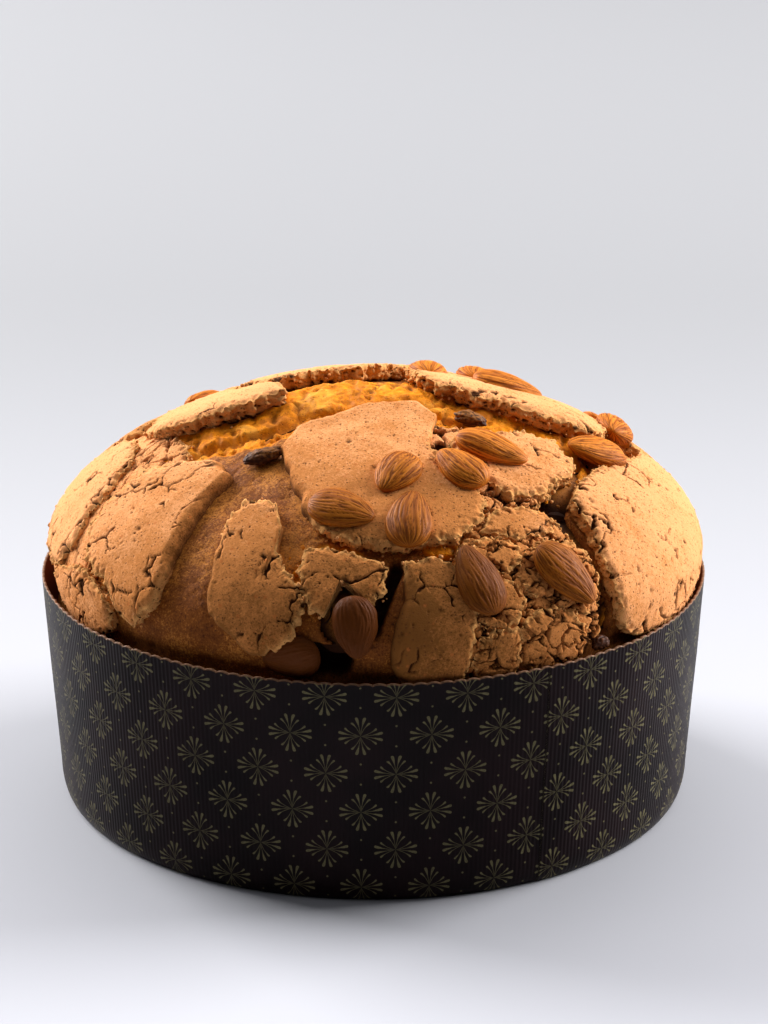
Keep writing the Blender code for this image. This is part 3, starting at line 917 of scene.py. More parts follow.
@dataclass
class Patch:
    """A closed piece that lies on the dome, with its outline given by heading."""

    name: str
    dome: Dome
    seed: int
    spacing: float = 0.4
    wall_step: float = 0.34
    sink: float = 1.2
    headings: int = 360

    def __post_init__(self) -> None:
        """Make the noise of this patch."""
        self.grain = Grain(self.seed)
        self.centre = np.zeros(2)
        self.reach = np.ones(self.headings)

    def trace(self, start: np.ndarray, end: np.ndarray) -> None:
        """Set the outline to the furthest crossing of each heading with plan edges.

        Args:
            start: (n, 2) first ends of the edges.
            end: (n, 2) second ends.
        """
        way = ways(headings(self.headings))
        start = start - self.centre
        run = end - self.centre - start
        cross = way[:, :1] * run[:, 1] - way[:, 1:] * run[:, 0]
        cross = np.where(np.abs(cross) < 1e-9, 1e-9, cross)
        reach = (start[:, 0] * run[:, 1] - start[:, 1] * run[:, 0]) / cross
        share = (start[:, 0] * way[:, 1:] - start[:, 1] * way[:, :1]) / cross
        hit = (share >= 0) & (share <= 1) & (reach > 0)
        self.reach = np.where(hit, reach, 0).max(axis=1)

    def outline(self, turn: np.ndarray) -> np.ndarray:
        """Reach of the smooth outline at headings."""
        heading = np.mod(turn, TURN) / TURN * self.headings
        return np.interp(heading, np.arange(self.headings + 1),
                         np.append(self.reach, self.reach[0]))

    def surface(self, plan: np.ndarray, turn: np.ndarray, inward: np.ndarray
                ) -> tuple[np.ndarray, dict[str, np.ndarray]]:
        """Lift of the top and its point values; each kind of patch has its own.

        Args:
            plan: (n, 2) plan places.
            turn: headings about the centre.
            inward: distances from the outline.

        Returns:
            (lift, values).
        """
        raise NotImplementedError

    def wall(self, part: float, place: np.ndarray) -> tuple[np.ndarray, np.ndarray]:
        """Outward push and hollow of the wall at a share of its depth."""
        # Painted shade: the wall darkens towards its foot.
        return np.zeros(len(place)), np.full(len(place), part)

    def top_sheet(self) -> tuple[Shell, np.ndarray]:
        """Top: a square grid bent onto the disc and stretched to the outline.

        Returns:
            (shell, loop): the open top, and the indices of its border in order.
        """
        count = int(2 * self.reach.mean() / self.spacing)
        line = np.linspace(-1, 1, count)
        y, x = grid(line, line)
        wide = np.abs(x) > np.abs(y)
        share = np.maximum(np.abs(x), np.abs(y))
        with np.errstate(divide="ignore", invalid="ignore"):
            turn = np.where(wide, math.pi / 4 * y / x, math.pi / 2 - math.pi / 4 * x / y)
        turn = np.nan_to_num(turn)
        turn += np.where((wide & (x < 0)) | (~wide & (y < 0)), math.pi, 0)
        reach = self.outline(turn)
        plan = self.centre + ways(turn) * (share * reach)[:, None]
        lift, values = self.surface(plan, turn, (1 - share) * reach * 0.9)
        shell = Shell(self.dome.points(plan, lift), sheet_quads(count, count, False),
                      NO_TRIANGLES, values)
        index = np.arange(count * count).reshape(count, count)
        loop = np.concatenate((index[0, :-1], index[:-1, -1], index[-1, :0:-1],
                               index[:0:-1, 0]))
        self.loop_turn, self.loop_lift, self.loop_plan = turn[loop], lift[loop], plan[loop]
        return shell, loop

    def outward(self) -> np.ndarray:
        """Unit plan vector from the centre at each border point."""
        way = self.loop_plan - self.centre
        return way / np.linalg.norm(way, axis=1, keepdims=True)

    def build(self, finish: bpy.types.Material) -> bpy.types.Object:
        """The closed patch: top, wall down into the crust, and a hidden floor.

        Args:
            finish: its material.

        Returns:
            The object.
        """
        top, loop = self.top_sheet()
        floor_lift = self.dome.ridge(self.loop_plan) - self.sink
        rows = max(3, math.ceil((self.loop_lift - floor_lift).max() / self.wall_step))
        outward = self.outward()
        walls, hollows = [], []
        for part in np.linspace(0, 1, rows + 1)[1:]:
            lift = self.loop_lift + (floor_lift - self.loop_lift) * part
            push, hollow = self.wall(part, self.dome.points(self.loop_plan, lift))
            walls.append(self.dome.points(self.loop_plan + outward * push[:, None], lift))
            hollows.append(hollow)
        middle = self.dome.points(self.centre[None], self.dome.ridge(self.centre[None])
                                  - self.sink)
        count = len(top.points)
        points = np.vstack([top.points, *walls, middle])
        rings = [loop] + [count + row * len(loop) + np.arange(len(loop))
                          for row in range(rows)]
        quads = [top.quads]
        for upper, lower in zip(rings, rings[1:]):
            quads.append(np.column_stack((upper, lower, np.roll(lower, -1),
                                          np.roll(upper, -1))))
        floor = fan(rings[-1], len(points) - 1)[:, SWAPPED]
        values = {}
        for label, above in top.values.items():
            values[label] = np.concatenate((above, np.tile(above[loop], rows), [0.0]))
        values["hollow"][count:-1] = np.concatenate(hollows)
        return Shell(points, np.vstack(quads), floor, values).build(self.name, finish)


@dataclass
class GlazePlate(Patch):
    """One plate of nut glaze, grown from its node or from corners on the dome."""

    look: PlateLook = field(default_factory=PlateLook)

    def read_node(self, node: bpy.types.Object) -> None:
        """Take centre, outline and top height from the node's mesh."""
        plan, lift = self.dome.laid_flat(node_vertices(node))
        corners = np.empty(len(node.data.loops), np.int32)
        node.data.loops.foreach_get("vertex_index", corners)
        ring = corners.reshape(-1, 3)
        self.centre = np.unique(np.round(plan, 2), axis=0).mean(axis=0)
        self.trace(plan[ring].reshape(-1, 2), plan[np.roll(ring, -1, axis=1)].reshape(-1, 2))
        away = turn_from(headings(self.headings), self.look.stretch_heading)
        self.reach = (self.reach + self.look.grow
                      + self.look.stretch * bell(away, math.radians(32)))
        self.top = (lift - self.dome.ridge(plan)).max()
        self.spacing = self.look.spacing

    def lay_out(self, corners: list[tuple[float, float]], top: float) -> None:
        """Take the outline from corners given by azimuth and arc.

        Args:
            corners: places in order round the plate.
            top: height of its top above the skin.
        """
        plan = np.array([plan_place(azimuth, arc) for azimuth, arc in corners])
        self.centre = plan.mean(axis=0)
        self.trace(plan, np.roll(plan, -1, axis=0))
        self.top = top
        self.spacing = self.look.spacing

    def outline(self, turn: np.ndarray) -> np.ndarray:
        """Reach of the plate at headings, roughened where its border is broken."""
        reach = super().outline(turn)
        rim = flat_place(self.centre + ways(turn) * reach[:, None])
        grain = self.grain
        rough = (1.1 * grain.smooth(rim, 5.5) + 0.8 * grain.smooth(rim + 31, 2.6)
                 + 0.25 * grain.smooth(rim + 57, 1.1))
        soft = 2.2 * grain.smooth(rim + 9, 12.0) + 0.5 * grain.smooth(rim + 77, 4.5)
        flowed = self.flowed(turn)
        return reach + self.look.ragged * (rough * (1 - flowed) + soft * flowed)

    def flowed(self, turn: np.ndarray) -> np.ndarray:
        """Share by which the border at each heading is flowed instead of broken."""
        if self.look.flow_heading is None:
            return np.zeros(len(turn))
        away = np.abs(turn_from(turn, self.look.flow_heading))
        spread = math.radians(self.look.flow_spread)
        return 1 - ease(away, spread * 0.75, spread * 1.15)

    def relief(self, place: np.ndarray, inward: np.ndarray
               ) -> tuple[np.ndarray, np.ndarray]:
        """Height of the fine surface, and how deep it lies in cracks and pores.

        Cracks are borders of jagged cells, open in short runs; pores are small bells.
        Rubble splits the plate into flakes of differing height, with grains of glaze in
        the crevices between them and along the rim.

        Args:
            place: (n, 3) smooth places of the surface.
            inward: distances from the outline.

        Returns:
            (height, hollow): millimetres, and 0 to 1.
        """
        grain, look = self.grain, self.look
        jag = np.column_stack([1.5 * grain.smooth(place + shift, 6.0)
                               + 0.50 * grain.smooth(place + shift + 20, 1.9)
                               for shift in (0, 40, 80)])
        bent = place + jag
        nearest, second, _ = grain.cells(bent + 9, look.crack_size)
        run = ease(grain.smooth(place + 120, 11.0) + 0.35 * grain.smooth(place + 140, 3.0)
                   + 0.45 * bell(inward, 6.0) + look.cracked, 0.02, 0.30)
        width = 0.24 + 0.70 * np.maximum(grain.smooth(place + 160, 3.5), 0)
        crack = bell(second - nearest, width) * run
        pore = np.zeros(len(place))
        for size, least, radius in ((2.3, 0.70, 0.26), (5.2, 0.72, 0.62)):
            away, _, share = grain.cells(place + size, size)
            hole = bell(away, radius * (0.5 + share)) * (share > least - look.porous)
            pore = np.maximum(pore, hole)
        pore *= ease(grain.smooth(place + 200, 9.0) + look.porous, -0.35, 0.25)
        nearest, second, share = grain.cells(bent + 260, 8.5)
        gap = 4.2 * look.rubble * (0.55 + grain.smooth(place + 300, 4.5))
        crevice = ease(gap - (second - nearest), 0.0, 0.7)
        small, other, _ = grain.cells(bent + 320, 3.2)
        gap = 2.4 * look.rubble * (0.25 + grain.smooth(place + 340, 5.0))
        crevice = np.maximum(crevice, 0.75 * ease(gap - (other - small), 0.0, 0.5))
        granule, _, kept = grain.cells(place + 380, 1.7)
        lump = np.sqrt(bowl(granule, 0.95)) * (kept > 0.35)
        crumbly = np.clip(crevice + bell(inward, 2.2), 0, 1)
        height = (0.45 * grain.fractal(place, 13.0, 2) + 0.07 * grain.smooth(place, 2.6)
                  - look.crack_depth * crack - 0.6 * pore - 2.4 * crevice
                  + (share - 0.5) * 1.6 * look.rubble * (1 - crevice)
                  + 0.65 * lump * crumbly)
        # Hollow is painted shade: it darkens cracks, pores and the crevices between flakes.
        hollow = crack * 0.95 + pore * 0.85 + crevice * (1.0 - 0.5 * lump)
        return height, np.clip(hollow, 0, 1)

    def surface(self, plan: np.ndarray, turn: np.ndarray, inward: np.ndarray
                ) -> tuple[np.ndarray, dict[str, np.ndarray]]:
        """Top of the plate: flat or tilted, rounded where flowed, crumbled where broken."""
        look, level = self.look, self.lift(plan)
        place = self.dome.points(plan, level)
        height, hollow = self.relief(place, inward)
        flowed = self.flowed(turn)
        calm = 1 - 0.7 * flowed * bell(inward, 4.5)
        height, hollow = height * calm, hollow * calm
        width = look.flow_width * (1 + 0.55 * self.grain.smooth(place + 400, 14.0))
        rounded = np.sqrt(1 - (1 - np.clip(inward / width, 0, 1)) ** 2)
        crumble = bell(inward, 1.6) * (0.9 + 0.9 * self.grain.smooth(place + 70, 2.0))
        base = self.dome.ridge(plan) - 0.4
        lift = level * (1 - flowed) + (base + (level - base) * rounded) * flowed
        lift += height * (1 - 0.6 * flowed * (1 - rounded)) - crumble * (1 - flowed)
        # Painted shade: a thin dark line at the foot of a flowed border.
        hollow = np.maximum(hollow, 0.5 * flowed * bell(inward, 0.5))
        # Toast holds the plate's own browning and brown rim, and painted shade low on the
        # front side.
        values = {"torn": bell(inward, 1.0) * (1 - flowed), "hollow": hollow,
                  "toast_and_shade": (look.toast_and_shade + 0.95 * flowed * bell(inward, look.brown_rim)
                            + 1.5 * self.dome.bake(plan))}
        return lift, values

    def lift(self, plan: np.ndarray) -> np.ndarray:
        """Smooth top of the plate: its own height on the ridge, tilted by its look."""
        heading = math.radians(self.look.tilt_heading)
        way = np.array([math.cos(heading), math.sin(heading)])
        along = (plan - self.centre) @ way / self.reach.max()
        return self.top + self.dome.ridge(plan) + self.look.tilt * np.clip(along, -0.3, 1)

    def wall(self, part: float, place: np.ndarray) -> tuple[np.ndarray, np.ndarray]:
        """Lumpy, porous broken wall, undercut towards its foot."""
        grain = self.grain
        layered = place * np.array([1.0, 1.0, 1.9])
        away, _, share = grain.cells(layered + 3, 2.5)
        hole = bell(away, 0.45 + 0.5 * share) * (share > 0.45)
        granule, _, _ = grain.cells(layered + 5, 2.6)
        lump = np.sqrt(bowl(granule, 1.6))
        broken = 1 - self.flowed(self.loop_turn)
        rough = 0.9 * grain.smooth(place + 11, 3.2) + 1.0 * lump - 0.3 - 1.3 * hole
        push = rough * math.sin(math.pi * min(part * 1.5, 0.5))
        push = (push - self.look.undercut * part ** 2) * broken
        # Painted shade in the holes, and towards the foot where the wall is undercut.
        shade = ease(part, 0.5, 0.95) * 0.55 * self.look.undercut
        return push, np.clip(hole * 0.8 + shade, 0, 1) * broken


@dataclass
class TornCrumb(Patch):
    """A field of pulled crumb where the cake is torn open."""

    middle: tuple[float, float] = (0.0, 0.0)
    half: tuple[float, float] = (10.0, 10.0)
    heading: float = 0.0
    swell: float = 1.6
    shade: float = 0.0
    squareness: float = 3.0

    def __post_init__(self) -> None:
        """Lay the outline out as a superellipse."""
        super().__post_init__()
        self.centre = np.array(self.middle)
        turn = headings(self.headings) - math.radians(self.heading)
        power = self.squareness
        self.reach = (np.abs(np.cos(turn) / self.half[0]) ** power
                      + np.abs(np.sin(turn) / self.half[1]) ** power) ** (-1 / power)

    def surface(self, plan: np.ndarray, turn: np.ndarray, inward: np.ndarray
                ) -> tuple[np.ndarray, dict[str, np.ndarray]]:
        """Strands across the tear: ridged noise stretched across it, with pockets."""
        grain = self.grain
        across = math.radians(self.heading) + math.pi / 2
        way = np.array([math.cos(across), math.sin(across)])
        pulled = plan - (plan @ way * 0.62)[:, None] * way
        round_place = flat_place(plan)
        warp = 1.6 * grain.smooth(round_place, 6.0)
        flat = flat_place(pulled) + warp[:, None]
        strand = 1 - np.abs(grain.fractal(flat, 4.2, 2)) * 2.0
        fold = grain.fractal(round_place + 60, 9.0, 3)
        away, _, share = grain.cells(flat, 3.1)
        pocket = bowl(away, 0.7 + 1.3 * share) * (share > 0.3)
        rim = 1 - ease(inward, 0.0, 0.35 * min(self.half))
        granule, _, _ = grain.cells(round_place + 90, 2.6)
        lump = np.sqrt(bowl(granule, 1.4)) * self.shade
        height = self.swell * (0.95 * fold + 0.32 * strand) - 0.7 * pocket + 1.8 * lump
        deep = 5.0 * self.shade
        lift = self.dome.ridge(plan) + 0.5 - deep + height * (1 - rim) - 1.8 * rim
        # Painted shade: pockets and sunk, shaded fields are darkened through hollow.
        hollow = np.clip(pocket * 0.45 + 1.2 * self.shade - 0.42 * fold - 0.45 * lump, 0, 1)
        values = {"torn": np.clip(0.75 + 0.4 * strand - 0.6 * rim, 0, 1),
                  "hollow": hollow, "toast_and_shade": np.full(len(plan), 0.5)}
        return lift, values


@dataclass
class Crumbs:
    """Loose grains of glaze that cling to the broken walls, joined as one piece."""

    seed: int = Seed.CRUMBS
    rings: int = 4
    sides: int = 7
    smallest: float = 0.30
    largest: float = 0.85
    per_millimetre: float = 0.32

    def __post_init__(self) -> None:
        """Start with no places."""
        self.random = np.random.default_rng(self.seed)
        self.places: list[np.ndarray] = []

    def gather(self, plate: GlazePlate) -> None:
        """Choose places along the broken wall of a plate, more of them where it is rough.

        Args:
            plate: a plate that is already built.
        """
        loop = plate.loop_plan
        length = np.linalg.norm(np.roll(loop, -1, axis=0) - loop, axis=1).sum()
        broken = 1 - plate.flowed(plate.loop_turn)
        count = int(length * self.per_millimetre * broken.mean())
        if not count:
            return
        at = self.random.choice(len(loop), count, p=broken / broken.sum())
        base = plate.dome.ridge(loop[at])
        drop = self.random.uniform(0, 1, count) ** 1.5
        lift = base + 0.2 + (plate.loop_lift[at] - base) * (1 - drop)
        push = self.random.uniform(-0.5, 0.7, count) + drop * 1.0
        plan = loop[at] + plate.outward()[at] * push[:, None]
        self.places.append(plate.dome.points(plan, lift))

    def build(self, finish: bpy.types.Material) -> bpy.types.Object:
        """All grains: balls stretched and turned at random, roughened by smooth noise.

        Args:
            finish: their material.

        Returns:
            The joined object.
        """
        middle = np.vstack(self.places)
        count = len(middle)
        angle, side = ball_grid(self.rings, self.sides)
        ball = np.column_stack((np.sin(angle) * np.cos(side), np.sin(angle) * np.sin(side),
                                np.cos(angle)))
        ball = np.vstack(([[0, 0, 1]], ball, [[0, 0, -1]]))
        size = self.smallest + (self.largest - self.smallest) * (
            self.random.uniform(0, 1, count) ** 2.2)
        stretch = self.random.uniform(0.6, 1.0, (count, 1, 3)) * size[:, None, None]
        axes, _ = np.linalg.qr(self.random.normal(size=(count, 3, 3)))
        axes[:, :, 0] *= np.sign(np.linalg.det(axes))[:, None]
        rough = 1 + 0.35 * self.random.uniform(-1, 1, (count, len(ball), 1))
        points = (ball[None] * stretch * rough) @ axes.transpose(0, 2, 1) + middle[:, None]
        shift = (np.arange(count) * len(ball))[:, None, None]
        quads, ends = capped(self.rings, self.sides, len(ball) - 1, False)
        total = count * len(ball)
        values = {"torn": np.full(total, 0.5), "hollow": np.zeros(total),
                  "toast_and_shade": np.repeat(self.random.uniform(0.1, 0.9, count), len(ball))}
        quads = (quads[None] + shift).reshape(-1, 4)[:, ::-1]
        triangles = (ends[None] + shift).reshape(-1, 3)[:, ::-1]
        return Shell(points.reshape(-1, 3), quads, triangles, values).build(
            "glaze_crumbs", finish)


GLAZE_BEDS = {
    "glaze_bed_right": (((17, 87), (24, 77), (37, 73), (43, 78), (43.5, 92), (42.5, 106),
                         (42.5, 119), (37, 126), (24, 127), (16, 126), (14, 112), (15, 98)),
                        2.7, PlateLook(0.33, rubble=0.32, toast_and_shade=0.35, crack_size=9,
                                       porous=0.25)),
    "glaze_bed_left": (((-104, 72), (-84, 62), (-66, 62), (-62, 80), (-64, 100), (-58, 120),
                        (-78, 122), (-98, 110), (-106, 92)), 2.4,
                       PlateLook(0.42, rubble=0.16, toast_and_shade=0.2, crack_size=9)),
    "glaze_bed_notch": (((22, 34), (38, 31), (56, 42), (68, 58), (58, 70), (42, 76),
                         (28, 74), (20, 60)), 2.8,
                        PlateLook(0.33, rubble=0.3, toast_and_shade=0.35, crack_size=9,
                                  porous=0.2)),
}

CRUMB_FIELDS = (
    ("torn_crumb_left", (-48, -12), (28, 13), 4.0, 1.8, 0.0),
    ("torn_crumb_middle", (-4, -3), (30, 15), 6.0, 2.0, 0.0),
    ("torn_crumb_right", (40, -11), (30, 12), -14.0, 1.8, 0.05),
    ("torn_crumb_side", (-30, -52), (5.5, 15), 14.0, 1.2, 0.4),
    ("torn_crumb_drip", (-21, -90), (6, 17), 14.0, 1.2, 0.35),
    ("torn_crumb_pit", (-9, -104), (9.5, 12), 0.0, 1.0, 0.75),
    ("torn_crumb_notch", (22, -62), (11, 9), -30.0, 1.4, 0.15),
    ("torn_crumb_cleft", (61, -34), (6, 21), -9.5, 2.0, 0.7),
    ("torn_crumb_crack", (71, -70), (6, 23), 37.0, 2.0, 0.85),
    ("torn_crumb_gap", (21, -80), (7, 4.5), 10.0, 1.4, 0.1),
)


# ---------------------------------------------------------------- cake


@dataclass
class Hollow:
    """A split or pit in the cake, between two places of azimuth and arc."""

    start: tuple[float, float]
    end: tuple[float, float]
    half_width: float
    depth: float


@dataclass
class Cake:
    """The cake: a dome of baked crust, torn open to its crumb, on a plain body."""

    dome: Dome
    sides: int = 620
    ring_step: float = 0.86
    last_arc: float = 127.0
    wall_contact: float = 50.0
    foot_radius: float = 98.9
    foot_height: float = 9.0
    floor_height: float = 1.4
    ridge_line: tuple[tuple[float, float], ...] = (
        (-66, -16), (-34, -16), (-10, -8), (12, -6), (36, -16), (58, -15), (70, -20))
    torn_patches: tuple[tuple[float, float, float], ...] = (
        (30, 94, 19), (25, 112, 15), (-8, 92, 12), (46, 70, 9), (-52, 74, 4),
        (-70, 86, 8), (-60, 112, 10))
    hollows: tuple[Hollow, ...] = (
        Hollow((-16, 119), (-6, 119.5), 5.5, 9),
        Hollow((-6.5, 97), (-5.5, 107), 6.8, 10),
        Hollow((5, 88), (0, 109), 2.6, 6),
        Hollow((-78, 78), (-64, 84), 2.5, 4),
        Hollow((76, 66), (48, 78), 3.2, 6),
        Hollow((47, 76), (44, 118), 3.6, 8),
        Hollow((28, 97), (26, 112), 2.2, 4),
        Hollow((12, 88), (30, 82), 2.0, 3.5),
    )

    def torn(self, plan: np.ndarray, place: np.ndarray) -> np.ndarray:
        """Share by which the crust is torn away, ragged at its border."""
        ragged = 4.0 * self.grain.fractal(place, 9.0, 3)
        line = np.array(self.ridge_line, float)
        share = 1 - ease(line_distance(plan, line) + ragged, 10.0, 13.5)
        for azimuth, arc, size in self.torn_patches:
            away = np.linalg.norm(plan - plan_place(azimuth, arc), axis=1)
            share = np.maximum(share, 1 - ease(away + ragged, size - 2.5, size + 1.0))
        return share

    def sunk(self, plan: np.ndarray) -> np.ndarray:
        """Depth of the splits and pits: half ellipses along their lines."""
        depth = np.zeros(len(plan))
        for hollow in self.hollows:
            line = np.array([plan_place(*hollow.start), plan_place(*hollow.end)])
            across = bowl(line_distance(plan, line), hollow.half_width)
            depth = np.maximum(depth, hollow.depth * np.sqrt(across))
        return depth

    def build(self, finish: bpy.types.Material) -> bpy.types.Object:
        """The cake's skin: rings of the dome, then plain rings down to the floor.

        Args:
            finish: its material.

        Returns:
            The object.
        """
        self.grain = Grain(Seed.CAKE)
        arcs = np.arange(self.ring_step, self.last_arc, self.ring_step)
        turn = headings(self.sides)
        arc, side = grid(arcs, turn)
        plan = turned(arc, side)
        base = self.dome.ridge(plan)
        place = self.dome.points(plan, base)
        grain = self.grain
        torn = self.torn(plan, place)
        bubble, _, bubble_share = grain.cells(place, 3.3)
        burst = bowl(bubble, 1.2 + 1.0 * bubble_share)
        crumb = (1.5 * grain.fractal(place, 7.0, 4) - 1.3 * burst
                 + 0.5 * grain.smooth(place + 33, 1.4))
        crust = (0.8 * grain.fractal(place + 90, 17.0, 3) + 0.10 * grain.smooth(place, 2.2)
                 - 0.35 * bell(grain.fractal(place + 140, 7.0, 2), 0.05))
        sunk = self.sunk(plan) * (1 + 0.25 * grain.smooth(place, 3.0))
        split = ease(sunk, 0.4, 3.0) * 1.7 * grain.fractal(place + 60, 4.5, 3)
        lift = base + crust + torn * (crumb - 0.4) - sunk + split
        # Painted shade: splits, pits and burst bubbles are darkened through hollow.
        hollow = np.clip(sunk / 4.5, 0, 1) * 0.85 + torn * burst * 0.25
        # Darker towards the bottom of the dome, with broad random patches.
        toast_and_shade = 0.45 + 0.45 * ease(arc, 60.0, 125.0) + 0.2 * grain.smooth(place, 26.0)
        dome = self.dome.points(plan, lift)
        lower = self.lower_rings(turn)
        rings = len(arcs) + len(lower)
        points = np.vstack([self.dome.points(np.zeros((1, 2)), np.array([3.0])), dome,
                            *lower, [[0, 0, self.floor_height]]])
        quads, triangles = capped(rings, self.sides, len(points) - 1, True)
        extra = len(points) - 1 - len(dome)
        values = {
            "torn": np.concatenate(([1.0], torn, np.zeros(extra))),
            "hollow": np.concatenate(([0.0], np.clip(hollow, 0, 1), np.zeros(extra))),
            "toast_and_shade": np.concatenate(([0.5], toast_and_shade, np.full(extra, 0.9))),
        }
        return Shell(points, quads, triangles, values).build("cake_skin", finish)

    def lower_rings(self, turn: np.ndarray) -> list[np.ndarray]:
        """Plain rings from the tuck out to the paper, down and under the floor."""
        wall = self.foot_radius + (self.wall_contact - self.foot_height) * 4.5 / 63
        profile = [
            (wall - 0.8, self.wall_contact + 8),
            (wall, self.wall_contact),
            (self.foot_radius, self.foot_height),
            (self.foot_radius - 1.6, self.floor_height + 2.2),
            (self.foot_radius - 4.6, self.floor_height),
        ]
        return [np.column_stack((turned(radius, turn), np.full(len(turn), height)))
                for radius, height in profile]


# ---------------------------------------------------------------- almonds and raisins


def node_points(node: bpy.types.Object) -> np.ndarray:
    """Distinct mesh points of a node, in millimetres."""
    return np.unique(np.round(node_vertices(node), 3), axis=0)


def node_axes(points: np.ndarray) -> tuple[np.ndarray, np.ndarray, np.ndarray]:
    """Middle, axes from longest to thinnest, and half sizes along them.

    Args:
        points: (n, 3) points of a convex node.

    Returns:
        (middle, axes, half): the box of the points along their main directions.
    """
    mean = points.mean(axis=0)
    _, _, axes = np.linalg.svd(points - mean, full_matrices=False)
    along = (points - mean) @ axes.T
    low, high = along.min(axis=0), along.max(axis=0)
    return mean + (low + high) / 2 @ axes, axes, (high - low) / 2


@dataclass
class Almond:
    """A whole almond in its skin, wrinkled from the blunt end to the tip."""

    name: str
    seed: int
    toast_and_shade: float = 0.0
    stations: int = 84
    sides: int = 140
    lines: float = 36.0
    furrow_depth: float = 0.22
    taper: float = 0.24
    widest: float = 1.03

    def read_node(self, node: bpy.types.Object) -> None:
        """Take place, axes and half sizes from the node; the tip is its slimmer end."""
        points = node_points(node)
        self.middle, axes, self.half = node_axes(points)
        along = (points - self.middle) @ axes[0]
        out = np.linalg.norm((points - self.middle) @ axes[1:].T, axis=1)
        if out[along > 0].mean() > out[along < 0].mean():
            axes[0] = -axes[0]
        outward = self.middle - np.array([0, 0, 40.0])
        if axes[2] @ outward < 0:
            axes[2] = -axes[2]
        axes[1] = np.cross(axes[2], axes[0])
        self.axes = axes

    def build(self, finish: bpy.types.Material) -> bpy.types.Object:
        """The skin: an oval swept from pole to pole, cut by furrows that meet at the tip.

        The section's radius is sqrt(1 - t^2) (1 - taper t) / widest, with t from -1 at the
        blunt end to 1 at the tip. Furrows are ridged noise of the angle, stretched along t.

        Args:
            finish: its material.

        Returns:
            The object.
        """
        grain = Grain(self.seed)
        angle, side = ball_grid(self.stations, self.sides)
        t = -np.cos(angle)
        swell = np.sin(angle) * (1 - self.taper * t) / self.widest
        lean = 0.10 * np.sin(angle * 1.5)
        belly = 1 + 0.05 * np.cos(side * 2 + self.seed)
        spin = side + 0.12 * np.sin(t * 2.4 + self.seed)
        streak = np.column_stack((np.cos(spin) * self.lines / TURN,
                                  np.sin(spin) * self.lines / TURN, t * 0.85))
        wave = grain.fractal(streak, 1.0, 2)
        line = np.clip(1 - np.abs(wave) * 5.5, 0, 1)
        long_way = streak * np.array([1.7, 1.7, 0.6]) + 70
        shade = np.clip(0.55 + 0.9 * grain.smooth(long_way, 1.0), 0, 1)
        depth = self.furrow_depth * line * np.clip(1.2 - t ** 4, 0.2, 1)
        dent = 0.22 * grain.smooth(np.column_stack((np.cos(side), np.sin(side), t * 2))
                                   + 7, 1.0)
        radius = swell * belly
        across = self.half[1] * radius * np.cos(side) + lean * self.half[1] * 0.5
        out = self.half[2] * radius * np.sin(side)
        normal = np.column_stack((0.35 * t, np.cos(side) / self.half[1],
                                  np.sin(side) / self.half[2]))
        normal[:, 1:] *= self.half[2]
        normal /= np.linalg.norm(normal, axis=1, keepdims=True)
        local = np.column_stack((self.half[0] * t, across, out))
        local += normal * (dent - depth)[:, None] * np.minimum(1, swell * 2)[:, None]
        ends = np.array([[-self.half[0], lean[0] * self.half[1] * 0.5, 0],
                         [self.half[0] * 1.01, lean[-1] * self.half[1] * 0.5, 0]])
        local = np.vstack((ends[:1], local, ends[1:]))
        points = self.middle + local @ self.axes
        quads, triangles = capped(self.stations, self.sides, len(points) - 1, False)
        values = {
            "furrow": np.concatenate(([0.6], line, [0.6])),
            "streak": np.concatenate(([0.5], shade, [0.5])),
            "toast_and_shade": np.full(len(points), self.toast_and_shade),
        }
        return Shell(points, quads, triangles, values).build(self.name + "_skin", finish)


GLAZED_RAISINS = {"raisin_back": 0.9, "raisin_left": 0.6}


@dataclass
class Raisin:
    """A baked raisin: an ellipsoid folded by deep wrinkles."""

    name: str
    seed: int
    glazed: float = 0.0
    stations: int = 48
    sides: int = 72

    def build(self, node: bpy.types.Object, finish: bpy.types.Material
              ) -> bpy.types.Object:
        """The skin: an ellipsoid pushed in by ridged noise.

        Args:
            node: the raisin's node, which gives place, axes and size.
            finish: its material.

        Returns:
            The object.
        """
        grain = Grain(self.seed)
        middle, axes, half = node_axes(node_points(node))
        if np.linalg.det(axes) < 0:
            axes[2] = -axes[2]
        angle, side = ball_grid(self.stations, self.sides)
        way = np.column_stack((-np.cos(angle), np.sin(angle) * np.cos(side),
                               np.sin(angle) * np.sin(side)))
        way = np.vstack(([[-1, 0, 0]], way, [[1, 0, 0]]))
        fold = np.clip(1 - np.abs(grain.fractal(way, 0.8, 2)) * 2.4, 0, 1)
        reach = 1.02 - 0.15 * fold + 0.12 * grain.smooth(way + 5, 0.9)
        points = middle + (way * half * reach[:, None]) @ axes
        quads, triangles = capped(self.stations, self.sides, len(points) - 1, False)
        glazed = self.glazed * ease(points[:, 2], middle[2] - 1.0, middle[2] + 1.5)
        values = {"furrow": fold, "glazed": glazed}
        return Shell(points, quads, triangles, values).build(self.name + "_skin", finish)


# ---------------------------------------------------------------- paper case


